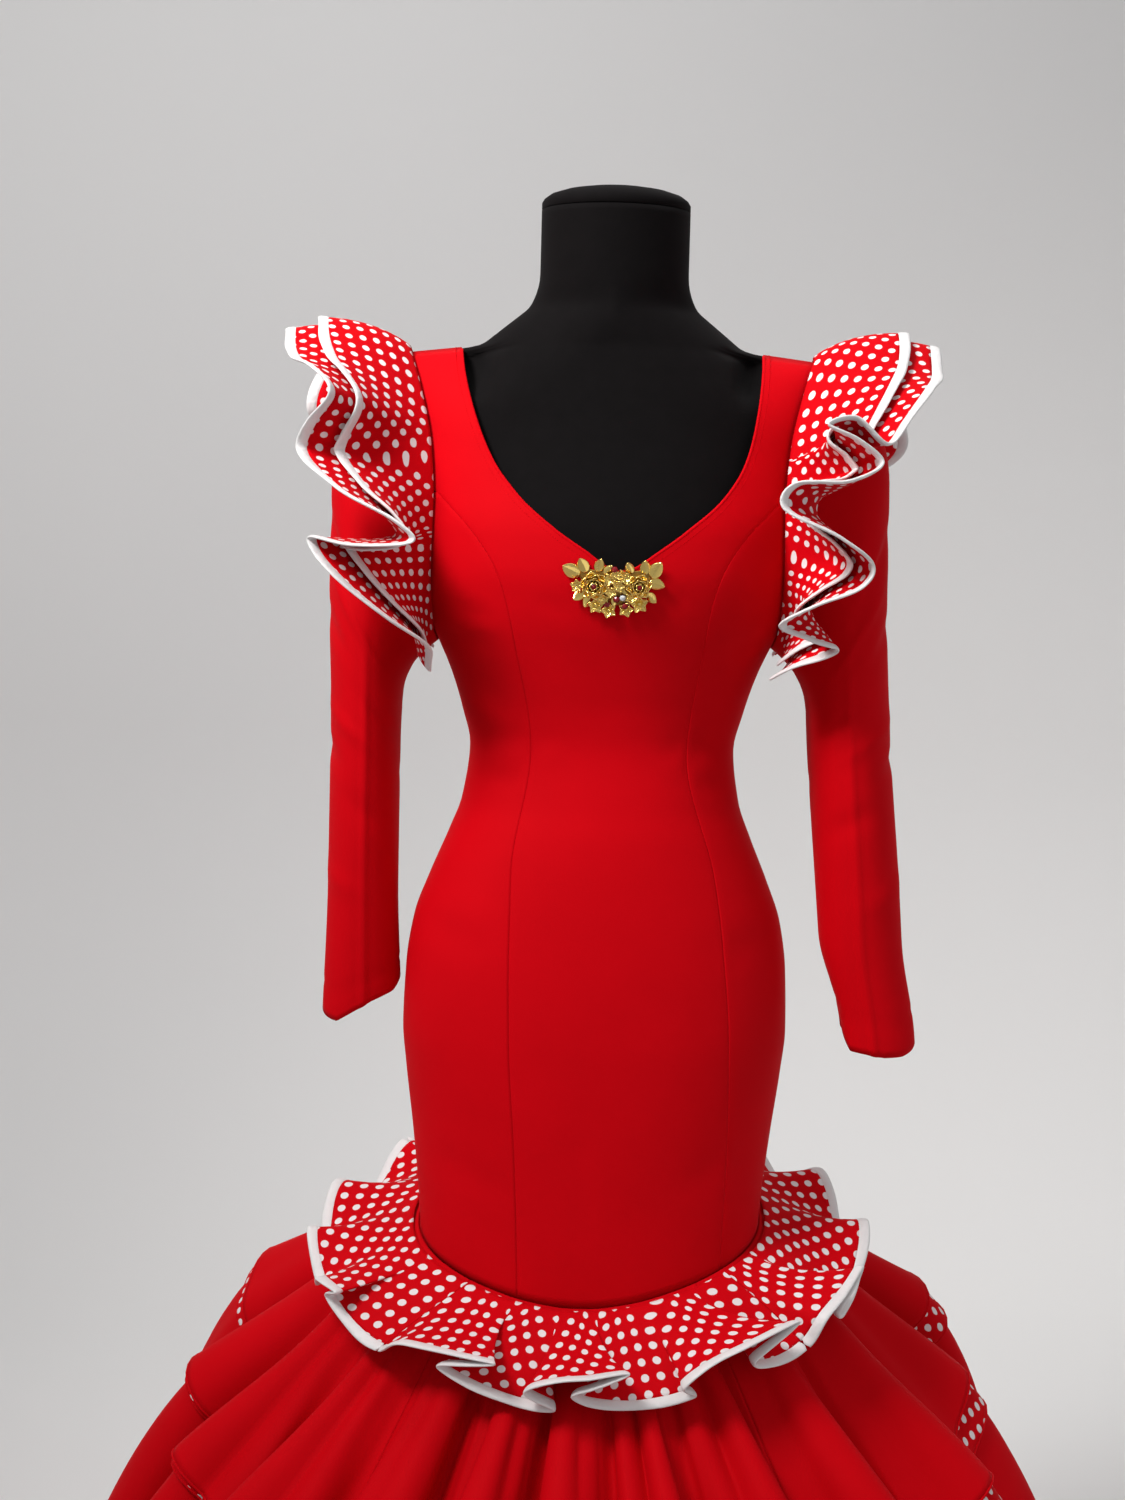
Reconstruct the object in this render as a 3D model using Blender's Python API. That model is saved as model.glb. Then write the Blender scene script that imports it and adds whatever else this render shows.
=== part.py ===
"""A flamenco dress on a limbless dress form.

Metres, +Z up. The origin is on the floor at the centre of the stand's base, -Y is the
dress's front and +X is its wearer's left. Each cut piece of cloth is a thin wall: a grid
of points on its outer side, and the same grid moved in by the cloth's thickness.
"""

import bmesh
import bpy
import numpy as np

for left_over in list(bpy.data.objects):
    bpy.data.objects.remove(left_over)

# ---------------------------------------------------------------- driving dimensions

GAP = 0.0003                # between two pieces at a seam
PANEL_CLOTH = 0.0015        # thickness of the dress's panels and sleeves
FLOUNCE_CLOTH = 0.0012      # thickness of the flounces, tiers and skirt
BINDING_CLOTH = 0.0030      # thickness of the folded bias binding
BINDING_WIDTH = 0.0105
ROUNDNESS = 2.2             # exponent of the body's section: 2 is an ellipse

SHOULDER_Z = 1.421          # dress's shoulder seam, at the neckline end
SHOULDER_FALL = 0.12        # drop of that seam for each metre outwards
SHOULDER_ROUND = 0.085      # height over which the body rounds over the shoulder
BEND_Z = 1.3386             # rows above this one follow the shoulder seam's slope
STRAP_X = 0.1374            # neckline end of the shoulder seam

# Body sections under the cloth's outer side: height, half width, depth in front and behind.
BODY = np.array([
    # z      half   front  back
    (0.560, 0.1555, 0.108, 0.108),
    (0.638, 0.1596, 0.109, 0.110),
    (0.700, 0.1660, 0.111, 0.115),
    (0.765, 0.1743, 0.114, 0.122),
    (0.800, 0.1776, 0.115, 0.127),
    (0.857, 0.1757, 0.114, 0.131),
    (0.901, 0.1693, 0.112, 0.128),
    (0.940, 0.1555, 0.109, 0.120),
    (0.981, 0.1385, 0.104, 0.108),
    (1.012, 0.1274, 0.098, 0.098),
    (1.060, 0.1214, 0.092, 0.089),
    (1.092, 0.1288, 0.096, 0.088),
    (1.123, 0.1385, 0.104, 0.090),
    (1.154, 0.1520, 0.114, 0.093),
    (1.165, 0.1580, 0.118, 0.094),
    (1.190, 0.1670, 0.125, 0.096),
    (1.221, 0.1735, 0.130, 0.098),
    (1.250, 0.1775, 0.128, 0.100),
    (1.300, 0.1830, 0.113, 0.101),
    (1.340, 0.1870, 0.099, 0.098),
    (1.380, 0.1920, 0.088, 0.090),
    (1.421, 0.1960, 0.078, 0.082),
])

UNDERARM = 1.154            # lowest point of the armhole
ARM_SEAM = UNDERARM + 0.0001

# Heights of the rows of points on the panels, above the U-shaped hip seam.
LOW_LEVELS = [0.700, 0.800, 0.855, 0.905, 0.955, 1.005, 1.060, 1.110]
ARM_LEVELS = [UNDERARM, 1.1642, 1.1931, 1.2208, 1.250, 1.2875, 1.3386, 1.364, 1.3875, 1.408, 1.421]
LEVELS = LOW_LEVELS + ARM_LEVELS
HIP_ROW = 0.600             # level of the lowest row before it is bent onto the hip seam
NECK_LEVEL = 1.2208         # lowest point of the front neckline
BACK_NECK_LEVEL = 1.2875    # lowest point of the back neckline
PRINCESS_TOP = 1.2875       # where the princess seams run into the armhole

ARMHOLE = np.array([
    # z      x
    (1.154, 0.1520), (1.165, 0.1555), (1.190, 0.1585), (1.214, 0.1590),
    (1.283, 0.1575), (1.330, 0.1610), (1.380, 0.1720), (1.421, 0.1850),
])
NECKLINE = np.array([
    # z       half    middle
    (1.2208, 0.0000, 0.0110), (1.2347, 0.0279, 0.0110), (1.2570, 0.0590, 0.0095),
    (1.2850, 0.0905, 0.0090), (1.3180, 0.1130, 0.0070), (1.3600, 0.1270, 0.0035),
    (1.3970, 0.1345, 0.0010), (1.4210, 0.1374, 0.0000),
])
BACK_NECKLINE = np.array([
    # z       half
    (1.2875, 0.0026), (1.3386, 0.0920), (1.3819, 0.1240), (1.4108, 0.1345), (1.4210, 0.1374),
])
PRINCESS = np.array([
    # z      right   left    back     x of the wearer's right and left seams, and of the back ones
    (0.560, -0.062, 0.118, 0.070),
    (0.700, -0.070, 0.122, 0.072),
    (0.800, -0.077, 0.120, 0.076),
    (0.890, -0.079, 0.112, 0.074),
    (0.950, -0.079, 0.103, 0.068),
    (1.060, -0.064, 0.075, 0.053),
    (1.154, -0.080, 0.086, 0.070),
    (1.193, -0.089, 0.092, 0.083),
    (1.221, -0.099, 0.101, 0.100),
    (1.250, -0.118, 0.119, 0.120),
    (1.2875, -0.1535, 0.1535, 0.1535),
])
ZIP_BOTTOM = 0.80           # level where the zip ends and the centre-back seam is closed
ZIP_EDGE = 0.0026           # half the gap that the zip's chain fills
ZIP_CHAIN = 0.0022          # half the chain's width


def through(at, xs, ys):
    """A curve through the points (xs, ys), of cubic pieces that never overshoot them.

    The slope at a point is the harmonic mean of the chords beside it, or level where
    they rise on one side and fall on the other.
    """
    at, xs, ys = (np.asarray(a, float) for a in (at, xs, ys))
    step, rise = np.diff(xs), np.diff(ys)
    chord = rise / step
    slope = np.zeros(len(xs))
    same = chord[1:] * chord[:-1] > 0
    before, after = chord[:-1][same], chord[1:][same]
    slope[1:-1][same] = 2 * before * after / (before + after)
    slope[0], slope[-1] = chord[0], chord[-1]
    piece = np.clip(np.searchsorted(xs, at) - 1, 0, len(xs) - 2)
    t = np.clip((at - xs[piece]) / step[piece], 0, 1)
    return (ys[piece] * (1 + 2 * t) * (1 - t) ** 2 + slope[piece] * step[piece] * t * (1 - t) ** 2
            + ys[piece + 1] * t * t * (3 - 2 * t) - slope[piece + 1] * step[piece] * t * t * (1 - t))


def smooth_path(points, per_step):
    """A round-cornered path through the table's rows, per_step samples from each row to the next."""
    p = np.asarray(points, float)
    p = np.vstack([2 * p[:1] - p[1:2], p, 2 * p[-1:] - p[-2:-1]])
    t = (np.arange(per_step) / per_step)[None, :, None]
    a, b, c, d = (p[i:len(p) - 3 + i][:, None, :] for i in range(4))
    path = 0.5 * (2 * b + (c - a) * t + (2 * a - 5 * b + 4 * c - d) * t ** 2
                  + (3 * b - a - 3 * c + d) * t ** 3).reshape(-1, p.shape[1])
    return np.vstack([path, p[-2]])


# ---------------------------------------------------------------- materials and solids

def material(name, colour, roughness, metallic=0.0):
    """A Principled BSDF of one colour."""
    made = bpy.data.materials.new(name)
    made.use_nodes = True
    shader = made.node_tree.nodes["Principled BSDF"]
    shader.inputs["Base Color"].default_value = (*colour, 1)
    shader.inputs["Roughness"].default_value = roughness
    shader.inputs["Metallic"].default_value = metallic
    return made


RED_CREPE = material("red_crepe", (0.60, 0.003, 0.015), 0.75)
DOTTED_CREPE = material("dotted_crepe", (0.66, 0.05, 0.06), 0.75)
WHITE_BINDING = material("white_binding", (0.85, 0.83, 0.84), 0.6)
BLACK_JERSEY = material("black_jersey", (0.012, 0.011, 0.012), 0.85)
GOLD = material("gold", (0.85, 0.60, 0.22), 0.25, 1.0)
ZIP_METAL = material("zip_metal", (0.45, 0.02, 0.03), 0.4, 0.6)
STAND_METAL = material("stand_metal", (0.55, 0.55, 0.56), 0.3, 1.0)


def add_object(name, points, faces, finish, smooth=True):
    """A named object from points and faces, its faces turned outwards."""
    mesh = bpy.data.meshes.new(name)
    mesh.from_pydata([tuple(p) for p in points], [], faces)
    work = bmesh.new()
    work.from_mesh(mesh)
    bmesh.ops.recalc_face_normals(work, faces=work.faces)
    if work.calc_volume(signed=True) < 0:
        bmesh.ops.reverse_faces(work, faces=work.faces)
    work.to_mesh(mesh)
    work.free()
    if smooth:
        mesh.shade_smooth()
    mesh.materials.append(finish)
    made = bpy.data.objects.new(name, mesh)
    bpy.context.scene.collection.objects.link(made)
    return made


def solid_from_cells(name, finish, outer, inner, cells):
    """A closed wall from chosen cells of two grids of points.

    Both sides split each cell along the same diagonal, so that they stay parallel.
    """
    cells = [tuple(int(k) for k in cell) for cell in cells]
    edges = {(a, b) for cell in cells for a, b in zip(cell, cell[1:] + cell[:1])}
    rim = sorted((a, b) for a, b in edges if (b, a) not in edges)
    far = outer.shape[0] * outer.shape[1]
    faces = []
    for a, b, c, d in cells:
        faces += [(a, b, c), (a, c, d), (c + far, b + far, a + far), (d + far, c + far, a + far)]
    faces += [(b, a, a + far, b + far) for a, b in rim]
    points = np.vstack([outer.reshape(-1, 3), inner.reshape(-1, 3)])
    used = sorted({k for face in faces for k in face})
    renumber = {old: new for new, old in enumerate(used)}
    faces = [tuple(renumber[k] for k in face) for face in faces]
    return add_object(name, points[used], faces, finish)


def wall(name, finish, outer, inner, around=False):
    """One closed solid between two grids of points, outer[i, j] and inner[i, j].

    around joins the last column to the first.
    """
    rows, columns = outer.shape[:2]
    index = np.arange(rows * columns).reshape(rows, columns)
    if around:
        index = np.hstack([index, index[:, :1]])
    cells = zip(index[:-1, :-1].flat, index[:-1, 1:].flat, index[1:, 1:].flat, index[1:, :-1].flat)
    return solid_from_cells(name, finish, outer, inner, cells)


def unit(v):
    """Vectors of length one."""
    return v / np.maximum(np.linalg.norm(v, axis=-1, keepdims=True), 1e-12)


def grid_normals(grid, around=False):
    """The normal at each point of a grid, across its neighbours in both directions."""
    if around:
        wide = np.concatenate([grid[:, -1:], grid, grid[:, :1]], axis=1)
        along = wide[:, 2:] - wide[:, :-2]
    else:
        along = np.gradient(grid, axis=1)
    down = np.gradient(grid, axis=0)
    return unit(np.cross(along, down))


def fold_normals(grid):
    """The normal at each point of a pleated ring: halfway between those of the cells beside
    it, and longer where they turn apart, so that a folded wall keeps its thickness."""
    down = np.gradient(grid, axis=0)
    after = unit(np.cross(np.roll(grid, -1, axis=1) - grid, down + np.roll(down, -1, axis=1)))
    halfway = unit(np.roll(after, 1, axis=1) + after)
    return halfway / np.maximum((halfway * after).sum(axis=-1, keepdims=True), MOST_TURN)


# ---------------------------------------------------------------- the dressed body

def shoulder_fall(x):
    """How far the shoulder line lies under its neckline end."""
    return SHOULDER_FALL * np.maximum(np.abs(x) - STRAP_X, 0)


def body(x, level, behind):
    """The point of the dress's outer side at x and a height level, on the front or the back."""
    x, level, behind = np.broadcast_arrays(np.asarray(x, float), level, behind)
    half = through(level, BODY[:, 0], BODY[:, 1])
    depth = np.where(behind, through(level, BODY[:, 0], BODY[:, 3]),
                     through(level, BODY[:, 0], BODY[:, 2]))
    section = np.maximum(1 - np.abs(np.clip(x / half, -1, 1)) ** ROUNDNESS, 0) ** (1 / ROUNDNESS)
    under = np.clip((SHOULDER_Z - level) / SHOULDER_ROUND, 0, 1)
    over_shoulder = np.sqrt(1 - (1 - under) ** 2)
    y = depth * section * over_shoulder * np.where(behind, 1, -1)
    bend = np.clip((level - BEND_Z) / (SHOULDER_Z - BEND_Z), 0, 1)
    return np.stack([x, y, level - bend * shoulder_fall(x)], axis=-1)


def body_at(turn, level):
    """The same surface by its turn in radians: 0 in front, +90 degrees at +X, 180 behind."""
    half = through(level, BODY[:, 0], BODY[:, 1])
    return body(half * np.sin(turn), level, np.cos(turn) < 0)


def body_normal(turn, level):
    """Its outward normal, from points a little way off on each side."""
    near, step = 0.01, 0.001
    along = body_at(turn + near, level) - body_at(turn - near, level)
    up = body_at(turn, level + step) - body_at(turn, level - step)
    normal = unit(np.cross(along, up))
    top = np.asarray(level) >= SHOULDER_Z - 1e-6
    return np.where(top[..., None], np.array([0.0, 0.0, 1.0]), normal)


def turn_of(x, level, behind):
    """The turn at which the surface has this x."""
    half = through(level, BODY[:, 0], BODY[:, 1])
    turn = np.arcsin(np.clip(x / half, -1, 1))
    return np.where(behind, np.pi - turn, turn)


def seam_height(azimuth):
    """Height of the U-shaped hip seam: lowest in front, highest behind."""
    return 0.617 - 0.055 * np.cos(azimuth) + 0.005 * np.sin(azimuth)


def hip_seam(azimuth):
    """The hip seam's point at a plan azimuth: 0 in front, +90 degrees at +X."""
    z = seam_height(azimuth)
    half = through(z, BODY[:, 0], BODY[:, 1])
    depth = np.where(np.cos(azimuth) < 0, through(z, BODY[:, 0], BODY[:, 3]),
                     through(z, BODY[:, 0], BODY[:, 2]))
    radius = (np.abs(np.sin(azimuth) / half) ** ROUNDNESS
              + np.abs(np.cos(azimuth) / depth) ** ROUNDNESS) ** (-1 / ROUNDNESS)
    return np.stack([radius * np.sin(azimuth), -radius * np.cos(azimuth), z], axis=-1)


def panel_grid(first, last, levels, steps):
    """Turns and levels of a panel's points; first and last give its edges' turns at each level.

    The lowest row is bent down or up onto the hip seam.
    """
    levels = np.array(levels)
    share = np.linspace(0, 1, steps + 1)[None, :]
    turns = first[:, None] * (1 - share) + last[:, None] * share
    heights = np.repeat(levels[:, None], steps + 1, axis=1)
    lowest = body_at(turns[0], heights[0])
    heights[0] = seam_height(np.arctan2(lowest[:, 0], -lowest[:, 1])) + 0.0004
    return turns, heights


def panel(name, first, last, levels, steps):
    """One panel of the dress between two edges."""
    turns, heights = panel_grid(first, last, levels, steps)
    outer = body_at(turns, heights)
    inner = outer - PANEL_CLOTH * body_normal(turns, heights)
    return wall(name, RED_CREPE, outer, inner)


def level_list(high):
    """The hip seam's row, then the row levels up to high."""
    return np.array([HIP_ROW] + [z for z in LEVELS if z <= high])


def princess_x(levels, column):
    return through(levels, PRINCESS[:, 0], PRINCESS[:, column])


def armhole_x(levels):
    return through(levels, ARMHOLE[:, 0], ARMHOLE[:, 1])


def make_front():
    """Front panel: one piece up to the V, two straps above it."""
    levels = level_list(SHOULDER_Z)
    turns, heights = [], []
    for side, column in ((-1, 1), (1, 2)):
        outside = np.where(levels > PRINCESS_TOP + 0.001, side * armhole_x(levels),
                           princess_x(levels, column) - side * GAP)
        half = through(levels, NECKLINE[:, 0], NECKLINE[:, 1])
        middle = through(levels, NECKLINE[:, 0], NECKLINE[:, 2])
        inside = np.where(levels > NECK_LEVEL, middle + side * half, NECKLINE[0, 2])
        edges = [turn_of(outside, levels, False), turn_of(inside, levels, False)][::-side]
        t, h = panel_grid(*edges, levels, 3)
        turns.append(t)
        heights.append(h)
    turns, heights = np.hstack(turns), np.hstack(heights)
    outer = body_at(turns, heights)
    inner = outer - PANEL_CLOTH * body_normal(turns, heights)
    # The halves share their middle column up to the V, and no cells join them above it.
    rows, columns = outer.shape[:2]
    index = np.arange(rows * columns).reshape(rows, columns)
    joined = levels <= NECK_LEVEL
    index[joined, 4] = index[joined, 3]
    cells = []
    for low, high in ((0, 4), (4, 8)):
        part = index[:, low:high]
        cells += list(zip(part[:-1, :-1].flat, part[:-1, 1:].flat, part[1:, 1:].flat, part[1:, :-1].flat))
    solid_from_cells("front_centre", RED_CREPE, outer, inner, cells)


def make_panels():
    """The side and back panels, each the mirror of its twin but for the front princess seams."""
    make_front()
    quarter = np.pi / 2
    for tag, side, column in (("R", -1, 1), ("L", 1, 2)):
        levels = level_list(PRINCESS_TOP)
        seam = turn_of(princess_x(levels, column) + side * GAP, levels, False)
        open_x = armhole_x(levels)
        outside = np.where(levels > ARM_SEAM, turn_of(side * open_x, levels, False),
                           side * (quarter - 0.001))
        panel("side_front_" + tag, seam, outside, levels, 3)

        back_seam = side * princess_x(levels, 3)
        seam = side * (np.pi - np.abs(turn_of(np.abs(back_seam) + GAP, levels, False)))
        outside = np.where(levels > ARM_SEAM, side * (np.pi - turn_of(open_x, levels, False)),
                           side * (quarter + 0.001))
        panel("side_back_" + tag, outside, seam, levels, 3)

        levels = level_list(SHOULDER_Z)
        outside = np.where(levels > PRINCESS_TOP + 0.001, armhole_x(levels),
                           princess_x(levels, 3) - GAP)
        inside = np.where(levels > BACK_NECK_LEVEL,
                          through(levels, BACK_NECKLINE[:, 0], BACK_NECKLINE[:, 1]),
                          np.where(levels > ZIP_BOTTOM - 0.001, ZIP_EDGE, GAP))
        edges = [side * (np.pi - turn_of(x, levels, False)) for x in (outside, inside)]
        turns, heights = panel_grid(*edges, levels, 3)
        outer = body_at(turns, heights)
        inner = outer - PANEL_CLOTH * body_normal(turns, heights)
        outer[-1, :, 1] += GAP / 2
        inner[-1, :, 1] += GAP / 2
        wall("back_" + tag, RED_CREPE, outer, inner)


def make_zip():
    """The concealed zip's chain between the back panels, its slider and its pull tab."""
    levels = np.array([z for z in LEVELS if ZIP_BOTTOM <= z <= BACK_NECK_LEVEL])
    levels[0] += 2 * GAP
    x = np.array([-ZIP_CHAIN, ZIP_CHAIN])[None, :]
    outer = body(x, levels[:, None], True)
    inner = outer - np.array([0, PANEL_CLOTH, 0])
    wall("zip_chain", ZIP_METAL, outer, inner)


# ---------------------------------------------------------------- sleeves

SLEEVE = {
    "R": np.array([
        # in_x   in_z   out_x   out_z  half depth, from the armhole down to the cuff
        (0.1620, 1.146, 0.2280, 1.388, 0.060),
        (0.1760, 1.130, 0.2530, 1.310, 0.062),
        (0.1840, 1.105, 0.2535, 1.200, 0.061),
        (0.1855, 1.055, 0.2500, 1.085, 0.056),
        (0.1850, 0.930, 0.2500, 0.935, 0.044),
        (0.1810, 0.841, 0.2530, 0.805, 0.028),
    ]),
    "L": np.array([
        (0.1620, 1.146, 0.2300, 1.388, 0.060),
        (0.1760, 1.130, 0.2560, 1.310, 0.062),
        (0.1860, 1.105, 0.2580, 1.200, 0.061),
        (0.1900, 1.055, 0.2645, 1.085, 0.056),
        (0.2020, 0.930, 0.2790, 0.935, 0.044),
        (0.2145, 0.800, 0.2920, 0.778, 0.028),
    ]),
}
ARM_MIDDLE_Z = (ARM_LEVELS[0] + SHOULDER_Z) / 2
ARM_HALF_Z = (SHOULDER_Z - ARM_LEVELS[0]) / 2
SLEEVE_GAP = 0.0006


def make_sleeve(tag, side):
    """A sleeve: the armhole's loop of points, then ovals between its inner and outer lines."""
    around = ARM_LEVELS[::-1] + ARM_LEVELS[1:-1]
    behind = np.arange(len(around)) >= len(ARM_LEVELS)
    levels = np.array(around)
    loop = body(side * (armhole_x(levels)), levels, behind)
    loop[:, 0] += side * SLEEVE_GAP
    cosine = (levels - ARM_MIDDLE_Z) / ARM_HALF_Z
    sine = np.sqrt(np.maximum(1 - cosine ** 2, 0)) * np.where(behind, 1, -1)
    rows = [loop]
    for in_x, in_z, out_x, out_z, half_y in SLEEVE[tag]:
        middle = np.array([side * (in_x + out_x) / 2, 0, (in_z + out_z) / 2])
        reach = np.array([side * (out_x - in_x) / 2, 0, (out_z - in_z) / 2])
        rows.append(middle + cosine[:, None] * reach + sine[:, None] * np.array([0, half_y, 0]))
    outer = np.array(rows)
    normals = grid_normals(outer, around=True)
    heading = outer - outer.mean(axis=1, keepdims=True)
    if (normals * heading).sum() < 0:
        normals = -normals
    normals[0, :, 0] = 0
    normals[0] = unit(normals[0])
    wall("sleeve_" + tag, RED_CREPE, outer, outer - PANEL_CLOTH * normals, around=True)


# ---------------------------------------------------------------- shoulder flounces

# Hem of each shoulder flounce, from the front underarm (-1) over the shoulder (0) to the
# back underarm (+1): where the hem's point lies along the armhole, and how far the cloth
# has swung from straight outwards (0) to square off the sleeve (90).
SHOULDER_FOLDS = {
    "R": np.array([
        # along  swing
        (-0.88, 87), (-0.80, 90), (-0.73, 72), (-0.67, 54), (-0.60, 37), (-0.60, 60), (-0.59, 84),
        (-0.56, 77), (-0.51, 52), (-0.42, 27), (-0.36, 36), (-0.31, 50), (-0.25, 40), (-0.18, 24),
        (-0.06, 11), (0.06, 12), (0.16, 42), (0.29, 18), (0.44, 62), (0.51, 76), (0.58, 38),
        (0.67, 28), (0.77, 62), (0.88, 84),
    ]),
    "L": np.array([
        (-0.88, 96), (-0.83, 78), (-0.80, 56), (-0.75, 80), (-0.72, 94), (-0.68, 80), (-0.65, 62),
        (-0.61, 58), (-0.57, 72), (-0.53, 94), (-0.49, 90), (-0.48, 69), (-0.44, 55), (-0.40, 66),
        (-0.37, 79), (-0.35, 68), (-0.395, 53), (-0.33, 43), (-0.23, 26), (-0.11, 10), (0.09, 8),
        (0.20, 46), (0.33, 18), (0.46, 60), (0.54, 80), (0.62, 34), (0.74, 58), (0.88, 84),
    ]),
}
LONG_FLOUNCE = 0.118        # cut depth of the longer flounce, without its binding
SHORT_FLOUNCE = 0.086
ROOT_SWING = 35.0           # degrees, at the armhole seam
ROOT_LIFT = 0.0031          # the flounces' seam lies on the sleeve's own
SEAM_REACH = 0.89           # the flounces stop short of the underarm
LAYER_GAP = 0.0028          # between the two flounces at the seam, and its growth to the hem
LAYER_GROWTH = 0.0052
HALF_ARMHOLE = 0.28         # length of the armhole's seam from underarm to shoulder
ROOT_OUT = 0.0008           # the flounces' seam stands this far outside the armhole's
TAPER_FROM = 0.62           # share of the seam where the cut starts to narrow towards the underarm,
TAPER_TO = 0.92             # where it stops, and by how much; over the shoulder it is a little less
TAPER = 0.58
TOP_CUT = 0.12
TOP_REACH = 0.16
SWING_STEP = 13             # degrees between rows that get a halfway point
SHOULDER_TOP = 0.32


def armhole_frame(along, side):
    """Points of the armhole's seam and its outward normals, at -1 to 1 from front to back."""
    rise = np.linspace(UNDERARM, SHOULDER_Z, 60)
    levels = np.concatenate([rise, rise[-2::-1]])
    behind = np.arange(len(levels)) >= 60
    loop = body(armhole_x(levels), levels, behind)
    step = np.linalg.norm(np.diff(loop, axis=0), axis=1)
    reach = np.concatenate([[0], np.cumsum(step)])
    reach = reach / reach[59] - 1
    reach[60:] /= reach[-1]
    tangent = np.gradient(loop, axis=0)
    normal = unit(np.stack([np.zeros(len(loop)), -tangent[:, 2], tangent[:, 1]], axis=1))
    for _ in range(6):
        normal[1:-1] = unit(normal[:-2] + normal[1:-1] + normal[2:])
    along = np.asarray(along)
    point = np.stack([np.interp(along, reach, loop[:, k]) for k in range(3)], axis=-1)
    facing = unit(np.stack([np.interp(along, reach, normal[:, k]) for k in range(3)], axis=-1))
    beyond = np.clip(np.abs(along) - 1, 0, 1)
    point[..., 2] -= beyond * HALF_ARMHOLE
    point[..., 0] *= side
    return point, facing


def shoulder_surface(tag, side, share, end):
    """Points of the flounce at shares of its depth: rows by columns. It is cut narrower
    towards the underarm as far as its hem, at the share end; the binding is not."""
    hem = smooth_path(SHOULDER_FOLDS[tag], 2)
    along, swing = hem[:, 0], np.clip(hem[:, 1], 8, 98)
    wide = np.pad(along, 3, mode="reflect", reflect_type="odd")
    seam = np.convolve(wide, np.ones(7) / 7, mode="valid")
    seam = SEAM_REACH * seam / np.abs(seam).max()
    # Halfway points are kept over the shoulder, and where the cloth swings far in one step.
    kept = np.abs(along) < SHOULDER_TOP
    kept[::2] = True
    kept[1::2] |= np.abs(np.diff(SHOULDER_FOLDS[tag][:, 1])) > SWING_STEP
    along, swing, seam = along[kept], swing[kept], seam[kept]
    near = np.clip((np.abs(along) - TAPER_FROM) / (TAPER_TO - TAPER_FROM), 0, 1)
    cut = 1 - TAPER * near * near * (3 - 2 * near) - TOP_CUT * np.exp(-(along / TOP_REACH) ** 2)
    rows = []
    for v in share:
        at = seam + (along - seam) * v
        turn = np.radians(ROOT_SWING + (swing - ROOT_SWING) * min(v, 1.2) ** 0.8)
        depth = LONG_FLOUNCE * (cut * min(v, end) + max(v - end, 0))
        point, facing = armhole_frame(at, side)
        outwards = np.array([side, 0.0, 0.0])
        rows.append(point + facing * (ROOT_LIFT + depth * np.sin(turn))[:, None]
                    + outwards * (ROOT_OUT + depth * np.cos(turn))[:, None])
    return np.array(rows)


def make_shoulder_flounces(tag, side):
    """The long flounce, the short one that lies on it, and a binding beyond each hem."""
    bound = BINDING_WIDTH / LONG_FLOUNCE
    gap = 3 * GAP / LONG_FLOUNCE
    short = SHORT_FLOUNCE / LONG_FLOUNCE
    for name, end, lift in (("long", 1.0, 0.0), ("short", short, 1.0)):
        rows = [0, 0.5 * short, short] + [1.0] * (name == "long")
        share = np.array(rows + [end + gap, end + gap + bound])
        middle = shoulder_surface(tag, side, share, end)
        normals = grid_normals(middle)
        if (normals[0] * armhole_frame(np.linspace(-0.9, 0.9, middle.shape[1]), side)[1]).sum() < 0:
            normals = -normals
        normals[-2] = normals[-3]
        middle = middle + normals * (lift * (LAYER_GAP + LAYER_GROWTH * share))[:, None, None]
        half = FLOUNCE_CLOTH / 2
        cloth, edge = slice(0, -2), slice(-2, None)
        wall(f"shoulder_flounce_{name}_{tag}", DOTTED_CREPE,
             (middle + normals * half)[cloth], (middle - normals * half)[cloth])
        half = BINDING_CLOTH / 2
        wall(f"binding_{name}_{tag}", WHITE_BINDING,
             (middle + normals * half)[edge], (middle - normals * half)[edge])


# ---------------------------------------------------------------- hip flounce

# Hem of the hip flounce: plan azimuth, and swing off its mean slope, in degrees.
# Where the azimuth turns back the cloth is folded over itself.
HIP_FOLDS = np.array([
    # azimuth swing
    (-175, 12), (-164, -5), (-153, 13), (-142, -5), (-131, 13), (-120, -3), (-109, 14),
    (-99, -1), (-91, 12), (-82, -3), (-74, 10), (-65, 15), (-70, 5), (-62, -5),
    (-54, -4), (-44, 11), (-23, 17), (-36, 5), (-20, -7), (-9, -6), (-15, 4), (-6, 14),
    (9, 17), (-3, 5), (12, -7), (27, -7), (24, 3), (32, 14), (50, 17), (41, 5), (50, -7),
    (58, -6), (61, 10), (74, 17), (66, 5), (74, -6), (84, -3), (94, 14), (105, -4),
    (116, 13), (127, -4), (139, 13), (151, -5), (163, 13), (174, -5),
])
HIP_FLOUNCE = 0.092
HIP_LIFT = 0.0050           # the flounce's seam lies on the tier's
MOST_TURN = 0.75            # a corner's normal is no longer than one over this
HIP_SLOPE = (55, 68, 86)    # degrees from upright, in front, at the sides and behind


def by_azimuth(azimuth, front, side, behind):
    """A value that goes smoothly from the front over the sides to the back."""
    return through(np.abs(np.degrees(azimuth)), [0, 90, 180], [front, side, behind])


def ring_path(table, per_step, window):
    """A closed table of folds as a smooth ring: hem azimuth in radians, second column,
    and the azimuth at the seam, which is the hem's with its turnings-back averaged out."""
    turn = np.array([360.0, 0.0])
    extended = np.vstack([table[-4:] - turn, table, table[:4] + turn])
    path = smooth_path(extended, per_step)
    azimuth = np.radians(path[:, 0])
    weights = np.ones(2 * window + 1) / (2 * window + 1)
    seam = np.convolve(np.pad(azimuth, window, mode="edge"), weights, "valid")
    kept = slice(4 * per_step, (4 + len(table)) * per_step)
    return azimuth[kept], path[kept, 1], seam[kept]


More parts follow.
